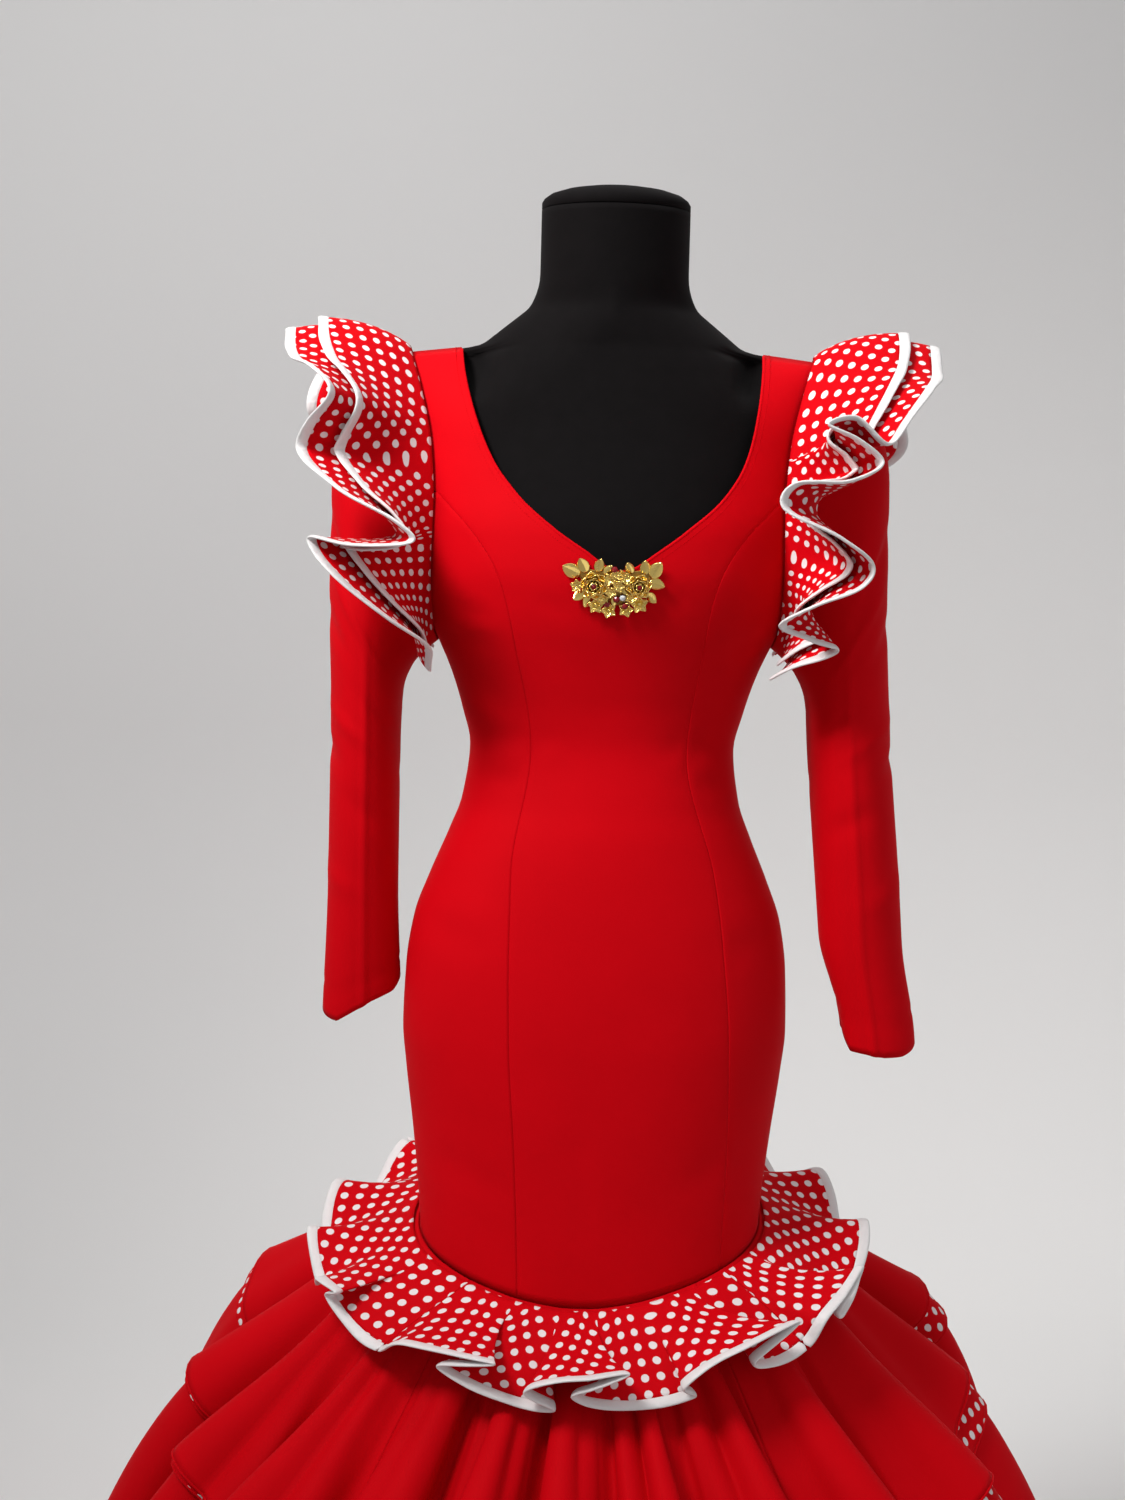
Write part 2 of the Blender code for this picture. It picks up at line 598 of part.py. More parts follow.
def plan_direction(azimuth):
    """Horizontal unit vectors away from the dress's middle."""
    return np.stack([np.sin(azimuth), -np.cos(azimuth), np.zeros_like(azimuth)], axis=-1)


UP = np.array([0.0, 0.0, 1.0])


def hip_surface(share, per_step=2):
    """Points of the hip flounce at shares of its depth, all round: rows by columns."""
    azimuth, swing, seam = ring_path(HIP_FOLDS, per_step, 3 * per_step)
    rows = []
    for v in share:
        at = seam + (azimuth - seam) * v
        slope = np.radians(by_azimuth(at, *HIP_SLOPE) + swing * min(v, 1.1) ** 0.8)
        outwards = plan_direction(at)
        down = outwards * np.sin(slope)[:, None] - UP * np.cos(slope)[:, None]
        rows.append(hip_seam(at) + outwards * HIP_LIFT + down * (HIP_FLOUNCE * v + 0.001))
    return np.array(rows)


def sector(grid, first, last):
    """Columns first to last of a ring of columns, their ends drawn in by the seam's gap."""
    columns = np.arange(first, last + 1) % grid.shape[1]
    part = grid[:, columns].copy()
    for end, beside in ((0, 1), (-1, -2)):
        inwards = unit(part[:, beside] - part[:, end])
        part[:, end] += inwards * GAP * 0.8
    return part


def layer(name, finish, middle, normals, thickness, first, last):
    """One sector of a ring of cloth, as a wall half its thickness to each side."""
    outer = sector(middle + normals * thickness / 2, first, last)
    inner = sector(middle - normals * thickness / 2, first, last)
    return wall(name, finish, outer, inner)


HIP_SECTORS = {"right": (8, 28), "front": (28, 62), "left": (62, 82), "back": (82, 98)}


def make_hip_flounce():
    """The polka-dot flounce on the hip seam and its binding, each in four sectors."""
    share = np.array([0, 1.0, 1 + 4 * GAP / HIP_FLOUNCE, 1 + BINDING_WIDTH / HIP_FLOUNCE])
    middle = hip_surface(share)
    normals = fold_normals(middle)
    if normals[..., 2].mean() < 0:
        normals = -normals
    normals[2] = normals[1]
    for name, (first, last) in HIP_SECTORS.items():
        layer("hip_flounce_" + name, DOTTED_CREPE, middle[:2], normals[:2], FLOUNCE_CLOTH, first, last)
        layer("hip_binding_" + name, WHITE_BINDING, middle[2:], normals[2:], BINDING_CLOTH, first, last)


# ---------------------------------------------------------------- tiers and skirt

# Ridges of the tiers' deep folds: plan azimuth in degrees and height of the wave in mm.
RIDGES = np.array([
    (-170, 28), (-148, 32), (-126, 36), (-106, 36), (-84, 34), (-62, 32), (-42, 28), (-22, 30),
    (-4, 26), (15, 30), (36, 28), (58, 32), (80, 34), (103, 36), (127, 36), (150, 30),
])
SAMPLES_PER_FOLD = 4
TIER_DEPTH = 0.310          # cut depth of the plain tier
HEM_Z = 0.050               # the skirt's hem above the floor
HEM_SLOPE = 12.0            # degrees from upright, at the hem
FOLD_LEAN = 0.16            # how far the ridges widen towards the hem, as a share of a fold


def drape(fold, down):
    """The skirt's outer side. fold counts ridges round from behind; down is 0 at the hip
    seam, 1 at the plain tier's hem and 2 at the skirt's hem."""
    fold, down = np.broadcast_arrays(np.asarray(fold, float), np.asarray(down, float))
    count = len(RIDGES)
    places = np.arange(-2, count + 2)
    turns = np.concatenate([RIDGES[-2:, 0] - 360, RIDGES[:, 0], RIDGES[:2, 0] + 360])
    heights = np.concatenate([RIDGES[-2:, 1], RIDGES[:, 1], RIDGES[:2, 1]]) * 0.001
    widened = fold + FOLD_LEAN * np.sin(4 * np.pi * fold) / 2 * np.minimum(down, 1.0)
    azimuth = np.radians(through(widened, places, turns))
    azimuth_back = np.arctan2(np.sin(azimuth), np.cos(azimuth))
    slope = np.radians(through(np.abs(np.degrees(azimuth_back)), [0, 90, 130, 180], [38, 36, 55, 64]))
    outwards = plan_direction(azimuth)

    def along(r, z):
        return outwards * r[..., None] + UP * z[..., None]

    seam = hip_seam(azimuth_back) - UP * 2 * GAP
    tier = np.minimum(down, 1.0) * TIER_DEPTH
    upper = seam + along(np.sin(slope) * tier, -np.cos(slope) * tier)
    # From the tier's hem a cubic curve runs on to the skirt's hem.
    t = np.clip(down - 1, 0, 1)
    hem_radius = by_azimuth(azimuth_back, 0.46, 0.53, 0.56)
    start = seam + along(np.sin(slope) * TIER_DEPTH, -np.cos(slope) * TIER_DEPTH)
    finish = outwards * hem_radius[..., None] + UP * HEM_Z
    length = np.linalg.norm(finish - start, axis=-1)
    leave = along(np.sin(slope) * length, -np.cos(slope) * length)
    arrive = along(np.sin(np.radians(HEM_SLOPE)) * length, -np.cos(np.radians(HEM_SLOPE)) * length)
    t = t[..., None]
    lower = (start * (1 + 2 * t) * (1 - t) ** 2 + leave * t * (1 - t) ** 2
             + finish * t * t * (3 - 2 * t) - arrive * t * t * (1 - t))
    mean = np.where(down[..., None] <= 1, upper, lower)
    lean = slope + (np.radians(HEM_SLOPE) - slope) * t[..., 0]
    proud = along(np.cos(lean), np.sin(lean))
    wave = through(fold, places, heights) * np.minimum(down, 1.0) ** 1.1 * np.cos(2 * np.pi * fold)
    return mean + proud * wave[..., None]


def drape_layer(folds, downs, lifts):
    """Rows by columns of a layer that lies lifts off the skirt's outer side, with its normals."""
    fold, down = np.meshgrid(folds, downs)
    small = 0.004
    along = drape(fold + small, down) - drape(fold - small, down)
    fall = drape(fold, np.minimum(down + small, 2)) - drape(fold, np.maximum(down - small, 0))
    normals = unit(np.cross(fall, along))
    if normals[..., 2].mean() < 0:
        normals = -normals
    return drape(fold, down) + normals * np.asarray(lifts)[:, None, None], normals


TIER_SECTORS = {"right": (10, 22), "front": (22, 42), "left": (42, 58), "back": (58, 74)}


def make_tiers():
    """The plain tier, the dotted flounce that peeks out below it, and the skirt under both."""
    folds = (np.arange(len(RIDGES) * SAMPLES_PER_FOLD)) / SAMPLES_PER_FOLD
    for kind, finish, downs, lifts in (
        ("skirt", RED_CREPE, [0, 0.5, 1.0, 1.4, 2.0], [-0.0006] * 5),
        ("peek_flounce", DOTTED_CREPE, [0.95, 1.09], [0.0055, 0.0062]),
        ("tier", RED_CREPE, [0, 0.5, 1.0], [0.0014, 0.0070, 0.0115]),
    ):
        middle, normals = drape_layer(folds, downs, lifts)
        for name, (first, last) in TIER_SECTORS.items():
            layer(f"{kind}_{name}", finish, middle, normals, FLOUNCE_CLOTH, first, last)


# ---------------------------------------------------------------- dress form and its stand

FORM_CLEARANCE = 0.0060     # under the cloth
FORM_REST = 0.0004          # under the straps, where the dress rests
FORM_BOTTOM = 0.600
NECK_RISE_X = 0.124         # where the shoulder starts to rise towards the neck, and its slope
NECK_RISE = 0.80
NECK_RADIUS = 0.0675
NECK_TOP = 1.545
NECK_Z = 1.40               # above this the form's section ends where the shoulder slopes down
ARM_STEP = 0.008            # how far the form's side stands beyond the armhole's seam
# Under the straps the form's section narrows by this share, from the height and the x on
# which are given with the distance it takes.
NARROWING = 0.64
NARROW_Z, NARROW_RISE = 1.37, 0.03
NARROW_X, NARROW_RUN = 0.105, 0.02
FORM_LEVELS = [0.600, 0.700, 0.800, 0.855, 0.905, 0.955, 1.005, 1.060, 1.110, 1.154, 1.193,
               1.221, 1.250, 1.2875, 1.3386, 1.362, 1.386, 1.4065, 1.4191, 1.432, 1.446, 1.459]
NECK_LEVELS = [1.475, 1.500, NECK_TOP]
FORM_COLUMNS = 24
POLE_RADIUS = 0.0125
BASE_RADIUS = 0.180
BASE_HEIGHT = 0.012


def form_row(z, turns):
    """One section of the form at height z."""
    top = SHOULDER_Z - PANEL_CLOTH - FORM_REST
    half = through(z, BODY[:, 0], BODY[:, 1]) - FORM_CLEARANCE
    if z > UNDERARM:
        half = min(half, armhole_x(z) + ARM_STEP - FORM_CLEARANCE)
    wide = half
    if z > NECK_Z:
        outer_reach = STRAP_X + (top - z) / SHOULDER_FALL
        inner_reach = NECK_RISE_X - (z - top) / NECK_RISE
        wide = min(half, outer_reach if z < top else inner_reach)
    x = wide * np.sin(turns)
    behind = np.cos(turns) < 0
    depth = np.where(behind, through(z, BODY[:, 0], BODY[:, 3]), through(z, BODY[:, 0], BODY[:, 2]))
    section = np.maximum(1 - np.abs(x / (half + 1e-9)) ** ROUNDNESS, 0) ** (1 / ROUNDNESS)
    fall = np.where(np.abs(x) > NECK_RISE_X, SHOULDER_FALL * np.maximum(np.abs(x) - STRAP_X, 0),
                    NECK_RISE * (np.abs(x) - NECK_RISE_X))
    under = np.clip((top - fall - z) / SHOULDER_ROUND, 0, 1)
    narrow = 1 - (NARROWING * np.clip((z - NARROW_Z) / NARROW_RISE, 0, 1)
                  * np.clip((np.abs(x) - NARROW_X) / NARROW_RUN, 0, 1))
    y = (depth - FORM_CLEARANCE) * section * narrow * np.sqrt(1 - (1 - under) ** 2) * np.where(behind, 1, -1)
    return np.stack([x, y, np.full_like(x, z)], axis=-1)


def capped(name, finish, rings, smooth=True):
    """A closed solid through rings of points, with flat ends."""
    rings = np.asarray(rings)
    rows, columns = rings.shape[:2]
    index = np.arange(rows * columns).reshape(rows, columns)
    faces = []
    for low, high in zip(index[:-1], index[1:]):
        faces += [(int(low[j]), int(low[(j + 1) % columns]), int(high[(j + 1) % columns]), int(high[j]))
                  for j in range(columns)]
    faces.append(tuple(int(k) for k in index[0][::-1]))
    faces.append(tuple(int(k) for k in index[-1]))
    return add_object(name, rings.reshape(-1, 3), faces, finish, smooth)


def turned(name, finish, profile, columns=24, middle=(0, 0), smooth=True):
    """A turned solid: rings of the profile's radii and heights."""
    turns = np.linspace(0, 2 * np.pi, columns, endpoint=False)
    rings = [np.stack([middle[0] + r * np.cos(turns), middle[1] + r * np.sin(turns),
                       np.full(columns, z)], axis=-1) for r, z in profile]
    return capped(name, finish, rings, smooth)


def make_form():
    """The limbless torso with its bare neck, a cap on the neck, a pole and a round base."""
    turns = np.linspace(-np.pi, np.pi, FORM_COLUMNS, endpoint=False)
    rings = [form_row(z, turns) for z in FORM_LEVELS]
    for z in NECK_LEVELS:
        rings.append(np.stack([NECK_RADIUS * np.sin(turns), -NECK_RADIUS * np.cos(turns),
                               np.full_like(turns, z)], axis=-1))
    capped("form_torso", BLACK_JERSEY, rings)
    cap = NECK_TOP + GAP
    turned("form_neck_cap", BLACK_JERSEY, [(NECK_RADIUS, cap), (NECK_RADIUS, cap + 0.006),
                                           (0.060, cap + 0.014), (0.035, cap + 0.020),
                                           (0.008, cap + 0.022)])
    turned("form_base", STAND_METAL, [(BASE_RADIUS, 0), (BASE_RADIUS, BASE_HEIGHT - 0.004),
                                      (BASE_RADIUS - 0.006, BASE_HEIGHT)], columns=36)
    turned("form_boss", STAND_METAL, [(0.036, BASE_HEIGHT + GAP), (0.034, BASE_HEIGHT + 0.008),
                                      (0.020, BASE_HEIGHT + 0.020), (0.018, 0.060)], columns=20)
    turned("form_pole", STAND_METAL, [(POLE_RADIUS, 0.060 + GAP), (POLE_RADIUS, FORM_BOTTOM - GAP)],
           columns=16)


# ---------------------------------------------------------------- zip slider, pull and brooch

SLIDER_TOP = 1.281
PULL_PIVOT_Z = 1.278


def box(name, finish, low, high):
    """A plain block between two corners."""
    corners = np.array([[(low[0], high[0])[i], (low[1], high[1])[j], (low[2], high[2])[k]]
                        for i in (0, 1) for j in (0, 1) for k in (0, 1)])
    faces = [(0, 1, 3, 2), (4, 6, 7, 5), (0, 4, 5, 1), (2, 3, 7, 6), (0, 2, 6, 4), (1, 5, 7, 3)]
    return add_object(name, corners, faces, finish, smooth=False)


def make_slider():
    """The slider at the top of the zip, and the pull tab that swings on it."""
    skin = float(body(0.0, PULL_PIVOT_Z, True)[1])
    box("zip_slider", ZIP_METAL, (-0.0035, skin + GAP, SLIDER_TOP - 0.011),
        (0.0035, skin + 0.0045, SLIDER_TOP))
    pivot = skin + 0.0045 + GAP + 0.0015
    outline = [(-0.0030, 0.0013), (0.0030, 0.0013), (0.0030, -0.004), (0.0022, -0.010),
               (0.0026, -0.020), (-0.0026, -0.020), (-0.0022, -0.010), (-0.0030, -0.004)]
    points = [(x, y, z) for y in (-0.0010, 0.0010) for x, z in outline]
    count = len(outline)
    faces = [tuple(range(count)), tuple(range(2 * count - 1, count - 1, -1))]
    faces += [(i, i + count, (i + 1) % count + count, (i + 1) % count) for i in range(count)]
    pull = add_object("zip_pull", points, faces, ZIP_METAL, smooth=False)
    pull.location = (0, pivot, PULL_PIVOT_Z)


BROOCH_X = 0.0060           # middle of the brooch
BROOCH_HALF = 0.0430
BROOCH_TOP = 1.2300
BROOCH_BOTTOM = 1.1825
ROSE_RADIUS = 0.0120


def make_brooch():
    """A thin plate that follows the panel under the neckline's point, and two domed roses."""
    share = np.linspace(-1, 1, 11)
    top = BROOCH_TOP - 0.003 * (1 - np.abs(share)) - 0.004 * np.abs(share) ** 8
    bottom = BROOCH_BOTTOM + 0.036 * np.abs(share) ** 1.6
    down = np.linspace(0, 1, 4)[:, None]
    level = top * (1 - down) + bottom * down
    x = BROOCH_X + BROOCH_HALF * share[None, :] * np.ones_like(level)
    turns = turn_of(x, level, False)
    skin, normal = body_at(turns, level), body_normal(turns, level)
    wall("brooch_plate", GOLD, skin + normal * 0.0025, skin + normal * 0.0006)
    for tag, offset in (("R", -0.0190), ("L", 0.0190)):
        x, level = BROOCH_X + offset, 1.2105
        turn = turn_of(x, level, False)
        skin, normal = body_at(turn, level), body_normal(turn, level)
        across = unit(np.cross(UP, normal))
        up = np.cross(normal, across)
        rings = []
        angles = np.linspace(0, 2 * np.pi, 16, endpoint=False)
        for radius, height in ((1.0, 0.0), (0.96, 0.35), (0.72, 0.75), (0.35, 1.0)):
            rings.append(skin + normal * (0.0030 + 0.0065 * height)
                         + ROSE_RADIUS * radius * (np.cos(angles)[:, None] * across
                                                   + np.sin(angles)[:, None] * up))
        capped("brooch_rose_" + tag, GOLD, rings)


make_panels()
make_zip()
make_slider()
for tag, side in (("R", -1), ("L", 1)):
    make_sleeve(tag, side)
    make_shoulder_flounces(tag, side)
make_hip_flounce()
make_tiers()
make_form()
make_brooch()
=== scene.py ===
# %% [markdown]
# # A flamenco dress on a dress form
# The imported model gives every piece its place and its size. This script gives each piece
# its cloth: finer surfaces on the same lines, with the folds, bindings and finishes that
# a dressmaker's eye would look for. Everything is in metres, -Y is the front, +X the
# wearer's left.

# %% Load the frame
import math
import numpy as np
import bpy
from mathutils import Matrix, Vector


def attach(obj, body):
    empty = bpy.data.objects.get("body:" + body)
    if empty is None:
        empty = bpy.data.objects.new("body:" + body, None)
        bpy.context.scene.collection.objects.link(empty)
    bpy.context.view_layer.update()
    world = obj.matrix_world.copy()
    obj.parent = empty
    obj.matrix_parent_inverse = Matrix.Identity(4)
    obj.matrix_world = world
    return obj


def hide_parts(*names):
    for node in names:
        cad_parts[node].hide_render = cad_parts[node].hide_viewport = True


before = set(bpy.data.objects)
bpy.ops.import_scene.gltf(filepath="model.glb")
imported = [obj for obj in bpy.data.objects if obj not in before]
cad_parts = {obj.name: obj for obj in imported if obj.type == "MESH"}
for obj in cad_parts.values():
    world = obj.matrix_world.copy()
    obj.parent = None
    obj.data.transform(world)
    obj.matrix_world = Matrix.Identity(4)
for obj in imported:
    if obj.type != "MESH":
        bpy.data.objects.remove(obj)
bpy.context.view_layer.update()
SCENE = bpy.context.scene
UP = np.array([0.0, 0.0, 1.0])

# %% [markdown]
# ## Surfaces from numbers
# Cloth is a surface with two directions, so each piece here is a grid of points worked
# out as one array. Three helpers do most of the work: a curve that passes through a
# short table, a soft step, and the normals of a grid.


# %% Curves and normals
def through(at, xs, ys):
    """Cubic pieces through (xs, ys) that never overshoot: the slope at a point is the
    harmonic mean of the chords beside it, or level where they change direction."""
    at, xs, ys = (np.asarray(a, float) for a in (at, xs, ys))
    step, rise = np.diff(xs), np.diff(ys)
    chord = rise / step
    slope = np.zeros(len(xs))
    same = chord[1:] * chord[:-1] > 0
    before, after = chord[:-1][same], chord[1:][same]
    slope[1:-1][same] = 2 * before * after / (before + after)
    slope[0], slope[-1] = chord[0], chord[-1]
    piece = np.clip(np.searchsorted(xs, at) - 1, 0, len(xs) - 2)
    t = np.clip((at - xs[piece]) / step[piece], 0, 1)
    return (ys[piece] * (1 + 2 * t) * (1 - t) ** 2 + slope[piece] * step[piece] * t * (1 - t) ** 2
            + ys[piece + 1] * t * t * (3 - 2 * t) - slope[piece + 1] * step[piece] * t * t * (1 - t))


def smooth_path(points, per_step):
    """A round-cornered path through the rows of a table: each point is a cubic blend of
    the four rows around it, with slopes from the rows on either side."""
    p = np.asarray(points, float)
    p = np.vstack([2 * p[:1] - p[1:2], p, 2 * p[-1:] - p[-2:-1]])
    t = (np.arange(per_step) / per_step)[None, :, None]
    a, b, c, d = (p[i:len(p) - 3 + i][:, None, :] for i in range(4))
    path = 0.5 * (2 * b + (c - a) * t + (2 * a - 5 * b + 4 * c - d) * t ** 2
                  + (3 * b - a - 3 * c + d) * t ** 3).reshape(-1, p.shape[1])
    return np.vstack([path, p[-2]])


def soft(t):
    """A step from 0 to 1 with level ends: 3t^2 - 2t^3."""
    t = np.clip(t, 0, 1)
    return t * t * (3 - 2 * t)


def unit(v):
    """Vectors of length one."""
    return v / np.maximum(np.linalg.norm(v, axis=-1, keepdims=True), 1e-12)


def grid_normals(grid, around=False):
    """The normal at each point: the cross product of the differences along and down."""
    if around:
        wide = np.concatenate([grid[:, -1:], grid, grid[:, :1]], axis=1)
        along = wide[:, 2:] - wide[:, :-2]
    else:
        along = np.gradient(grid, axis=1)
    return unit(np.cross(along, np.gradient(grid, axis=0)))


def turned_to(normals, towards):
    """The normals, all reversed if on the whole they point away from a direction."""
    return normals if (normals * towards).sum() >= 0 else -normals


def spans(grid, axis):
    """Distances between neighbouring points along one direction of a grid."""
    return np.linalg.norm(np.diff(grid, axis=axis), axis=-1)


def lengths(path):
    """Distance run along a path of points, starting at 0."""
    return np.concatenate([[0], np.cumsum(spans(path, 0))])


def placed_along(at, run, points):
    """Points of a path at places at, where run says how far along each given point is."""
    return np.stack([np.interp(at, run, points[:, k]) for k in range(3)], axis=-1)


print("halfway up a soft step:", soft(0.5))

# %% [markdown]
# ## From grid to mesh
# A cloth piece is a closed thin wall: the outer grid, the same grid moved in by the
# cloth's thickness, and a strip of faces round the rim. Its UV map is the flat cut in
# metres, so a printed dot is as large on the mesh as on the roll.


# %% Meshes from arrays
def mesh_object(name, points, quads, uv=None):
    """An object from an array of points and an array of quads, with smooth shading."""
    mesh = bpy.data.meshes.new(name)
    mesh.vertices.add(len(points))
    mesh.vertices.foreach_set("co", np.ascontiguousarray(points, np.float32).ravel())
    mesh.loops.add(quads.size)
    mesh.loops.foreach_set("vertex_index", quads.astype(np.int32).ravel())
    mesh.polygons.add(len(quads))
    mesh.polygons.foreach_set("loop_start", np.arange(0, quads.size, 4, dtype=np.int32))
    mesh.polygons.foreach_set("use_smooth", np.ones(len(quads), bool))
    mesh.update(calc_edges=True)
    if uv is not None:
        layer = mesh.uv_layers.new(name="cut")
        layer.data.foreach_set("uv", np.ascontiguousarray(uv[quads.ravel()], np.float32).ravel())
    made = bpy.data.objects.new(name, mesh)
    SCENE.collection.objects.link(made)
    return made


def quads_between(index):
    """The quads between neighbours in a table of point numbers."""
    return np.stack([index[:-1, :-1], index[:-1, 1:], index[1:, 1:], index[1:, :-1]], -1).reshape(-1, 4)


def cells(rows, columns, around=False):
    """The quads of a grid, whose last column meets the first if around is true."""
    index = np.arange(rows * columns).reshape(rows, columns)
    return quads_between(np.hstack([index, index[:, :1]]) if around else index)


def capped(rows, sides):
    """The quads of a tube, with both end rings filled by quads that bridge them."""
    k = np.arange(sides // 2 - 1)
    first = np.stack([sides - 1 - k, sides - 2 - k, k + 1, k], -1)
    last = first[:, ::-1] + (rows - 1) * sides
    return np.vstack([cells(rows, sides, around=True), first, last])


def signed_volume(points, quads):
    """Volume inside a closed mesh, negative if its faces point inwards: one sixth of the
    sum of each triangle's triple product."""
    p = points[quads]
    return (np.einsum("ij,ij->i", p[:, 0], np.cross(p[:, 1], p[:, 2])).sum()
            + np.einsum("ij,ij->i", p[:, 0], np.cross(p[:, 2], p[:, 3])).sum()) / 6


def outward(points, quads):
    """The quads of a closed mesh, turned over if they point inwards."""
    return quads if signed_volume(points, quads) >= 0 else quads[:, ::-1]


print("a closed tube of 3 rings of 8 points has", len(capped(3, 8)), "quads")


# %% Walls
def rim_of(quads):
    """The directed edges that only one quad uses."""
    start, end = quads.ravel(), np.roll(quads, -1, axis=1).ravel()
    count = quads.max() + 1
    forward, backward = start * count + end, end * count + start
    lone = ~np.isin(forward, backward)
    return start[lone], end[lone]


def shell(quads, far):
    """The quads of a closed wall: the outer grid's, the same turned over on the inner grid,
    whose point numbers are higher by far, and a strip that joins them round the rim."""
    a, b = rim_of(quads)
    return np.vstack([quads, quads[:, ::-1] + far, np.stack([b, a, a + far, b + far], -1)])


def wall(name, outer, inner, uv=None, around=False, quads=None):
    """A closed wall between two grids, without the points that no quad uses."""
    rows, columns = outer.shape[:2]
    quads = shell(cells(rows, columns, around) if quads is None else quads, rows * columns)
    used, compact = np.unique(quads, return_inverse=True)
    quads, points = compact.reshape(-1, 4), np.vstack([outer.reshape(-1, 3), inner.reshape(-1, 3)])[used]
    flat = None if uv is None else np.vstack([uv.reshape(-1, 2)] * 2)[used]
    return mesh_object(name, points, outward(points, quads), flat)


def cloth(name, middle, normals, thickness, uv=None, around=False):
    """A wall half its thickness to each side of its middle surface."""
    half = normals * thickness / 2
    return wall(name, middle + half, middle - half, uv, around)


def faceted(piece):
    """Shade each face flat, as on cut glass or stamped metal."""
    piece.data.polygons.foreach_set("use_smooth", np.zeros(len(piece.data.polygons), bool))
    return piece


def dress_piece(piece, finish, slot, *nodes, body="dress"):
    """Give a piece its finish, tie it to its body and let it stand for its CAD nodes."""
    piece.data.materials.append(finish)
    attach(piece, body)
    if nodes:
        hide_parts(*nodes)
    print(f"{piece.name}: {len(piece.data.polygons)} faces")
    return piece


print("rim of a 2 by 2 grid:", len(rim_of(cells(3, 3))[0]), "edges")

# %% [markdown]
# ## Finishes
# Crepe is matte because its twisted yarns pebble the surface. A fine noise bump gives
# the pebble, a finer one the grain, and a little sheen lifts the edges where the cloth
# turns away. The colour drifts slightly, as piece-dyed cloth does.


# %% Node helpers
def new_finish(name, colour, roughness, metallic=0.0, **sockets):
    """A node material with its Principled BSDF set; returns it with its tree and shader."""
    made = bpy.data.materials.new(name)
    made.use_nodes = True
    tree = made.node_tree
    shader = tree.nodes["Principled BSDF"]
    shader.inputs["Base Color"].default_value = (*colour, 1)
    shader.inputs["Roughness"].default_value = roughness
    shader.inputs["Metallic"].default_value = metallic
    for socket, value in sockets.items():
        shader.inputs[socket.replace("_", " ")].default_value = value
    return made, tree, shader


def node(tree, kind, inputs=None, **settings):
    """A node of a kind, with its settings, and its inputs by name or number: a value, or
    another node's socket to link from."""
    made = tree.nodes.new("ShaderNode" + kind)
    for key, value in settings.items():
        setattr(made, key, value)
    for key, value in (inputs or {}).items():
        if isinstance(value, bpy.types.NodeSocket):
            tree.links.new(value, made.inputs[key])
        else:
            made.inputs[key].default_value = value
    return made


def noise(tree, where, scale, detail=2.0, roughness=0.5):
    """A noise texture's value at a position."""
    return node(tree, "TexNoise", {"Vector": where, "Scale": scale, "Detail": detail,
                                   "Roughness": roughness}).outputs["Fac"]


def maths(tree, operation, a, b):
    """One arithmetic step between two values."""
    return node(tree, "Math", {0: a, 1: b}, operation=operation).outputs[0]


def mix_colour(tree, factor, low, high):
    """A colour between two colours."""
    made = node(tree, "Mix", {0: factor}, data_type="RGBA")
    for socket, value in ((made.inputs[6], low), (made.inputs[7], high)):
        if isinstance(value, bpy.types.NodeSocket):
            tree.links.new(value, socket)
        else:
            socket.default_value = (*value, 1)
    return made.outputs[2]


def on_piece(tree):
    """The place of a point in its piece's own coordinates, in metres."""
    return node(tree, "TexCoord").outputs["Object"]


def paint(tree, shader, factor, low, high):
    """Let the base colour run between two colours."""
    tree.links.new(mix_colour(tree, factor, low, high), shader.inputs["Base Color"])


def vector_maths(tree, operation, vector, by=(0, 0, 0)):
    """One step on a vector, in each coordinate."""
    return node(tree, "VectorMath", {0: vector, 1: by}, operation=operation).outputs


def bump(tree, shader, height, distance, strength):
    """Raise the surface by a height; bumps on one shader are chained."""
    inputs = {"Height": height, "Distance": distance, "Strength": strength}
    before = shader.inputs["Normal"].links
    if before:
        inputs["Normal"] = before[0].from_socket
    made = node(tree, "Bump", inputs)
    tree.links.new(made.outputs["Normal"], shader.inputs["Normal"])


print("finishes so far:", len(bpy.data.materials))


# %% Crepe
RED_LIT = (0.600, 0.0006, 0.0052)
RED_DEEP = (0.470, 0.0003, 0.0034)
DOT_PITCH = 0.0136
DOT_RADIUS = 0.00345
PRINT_TURN = 38             # degrees from the lattice to the flounce's radius
DOT_EDGE = 0.00022          # soft edge of the print
DOT_WAVER = 0.02            # share of a cell by which the outline wanders
DOT_WHITE = (0.74, 0.69, 0.69)


def crepe(name, tint):
    """Crepe's shader, with its pebble and grain, and the slow drift of its dye; returns the
    material, its tree, its shader, a point's place and the drift."""
    made, tree, shader = new_finish(name, RED_LIT, 0.72, Sheen_Weight=0.06, Sheen_Roughness=0.45,
                                    Sheen_Tint=(*tint, 1), Specular_IOR_Level=0.04)
    place = on_piece(tree)
    drift = noise(tree, place, 9.0, 3.0)
    pebble = noise(tree, place, 1500.0, 3.0, 0.6)
    grain = noise(tree, place, 420.0, 2.0, 0.5)
    bump(tree, shader, grain, 0.00012, 0.35)
    bump(tree, shader, pebble, 0.00010, 0.45)
    rough = node(tree, "MapRange", {"Value": pebble, "To Min": 0.62, "To Max": 0.82})
    tree.links.new(rough.outputs[0], shader.inputs["Roughness"])
    return made, tree, shader, place, drift


def red_crepe():
    """Plain red crepe."""
    made, tree, shader, _, drift = crepe("red crepe", (1.0, 0.04, 0.06))
    paint(tree, shader, drift, RED_DEEP, RED_LIT)
    return made


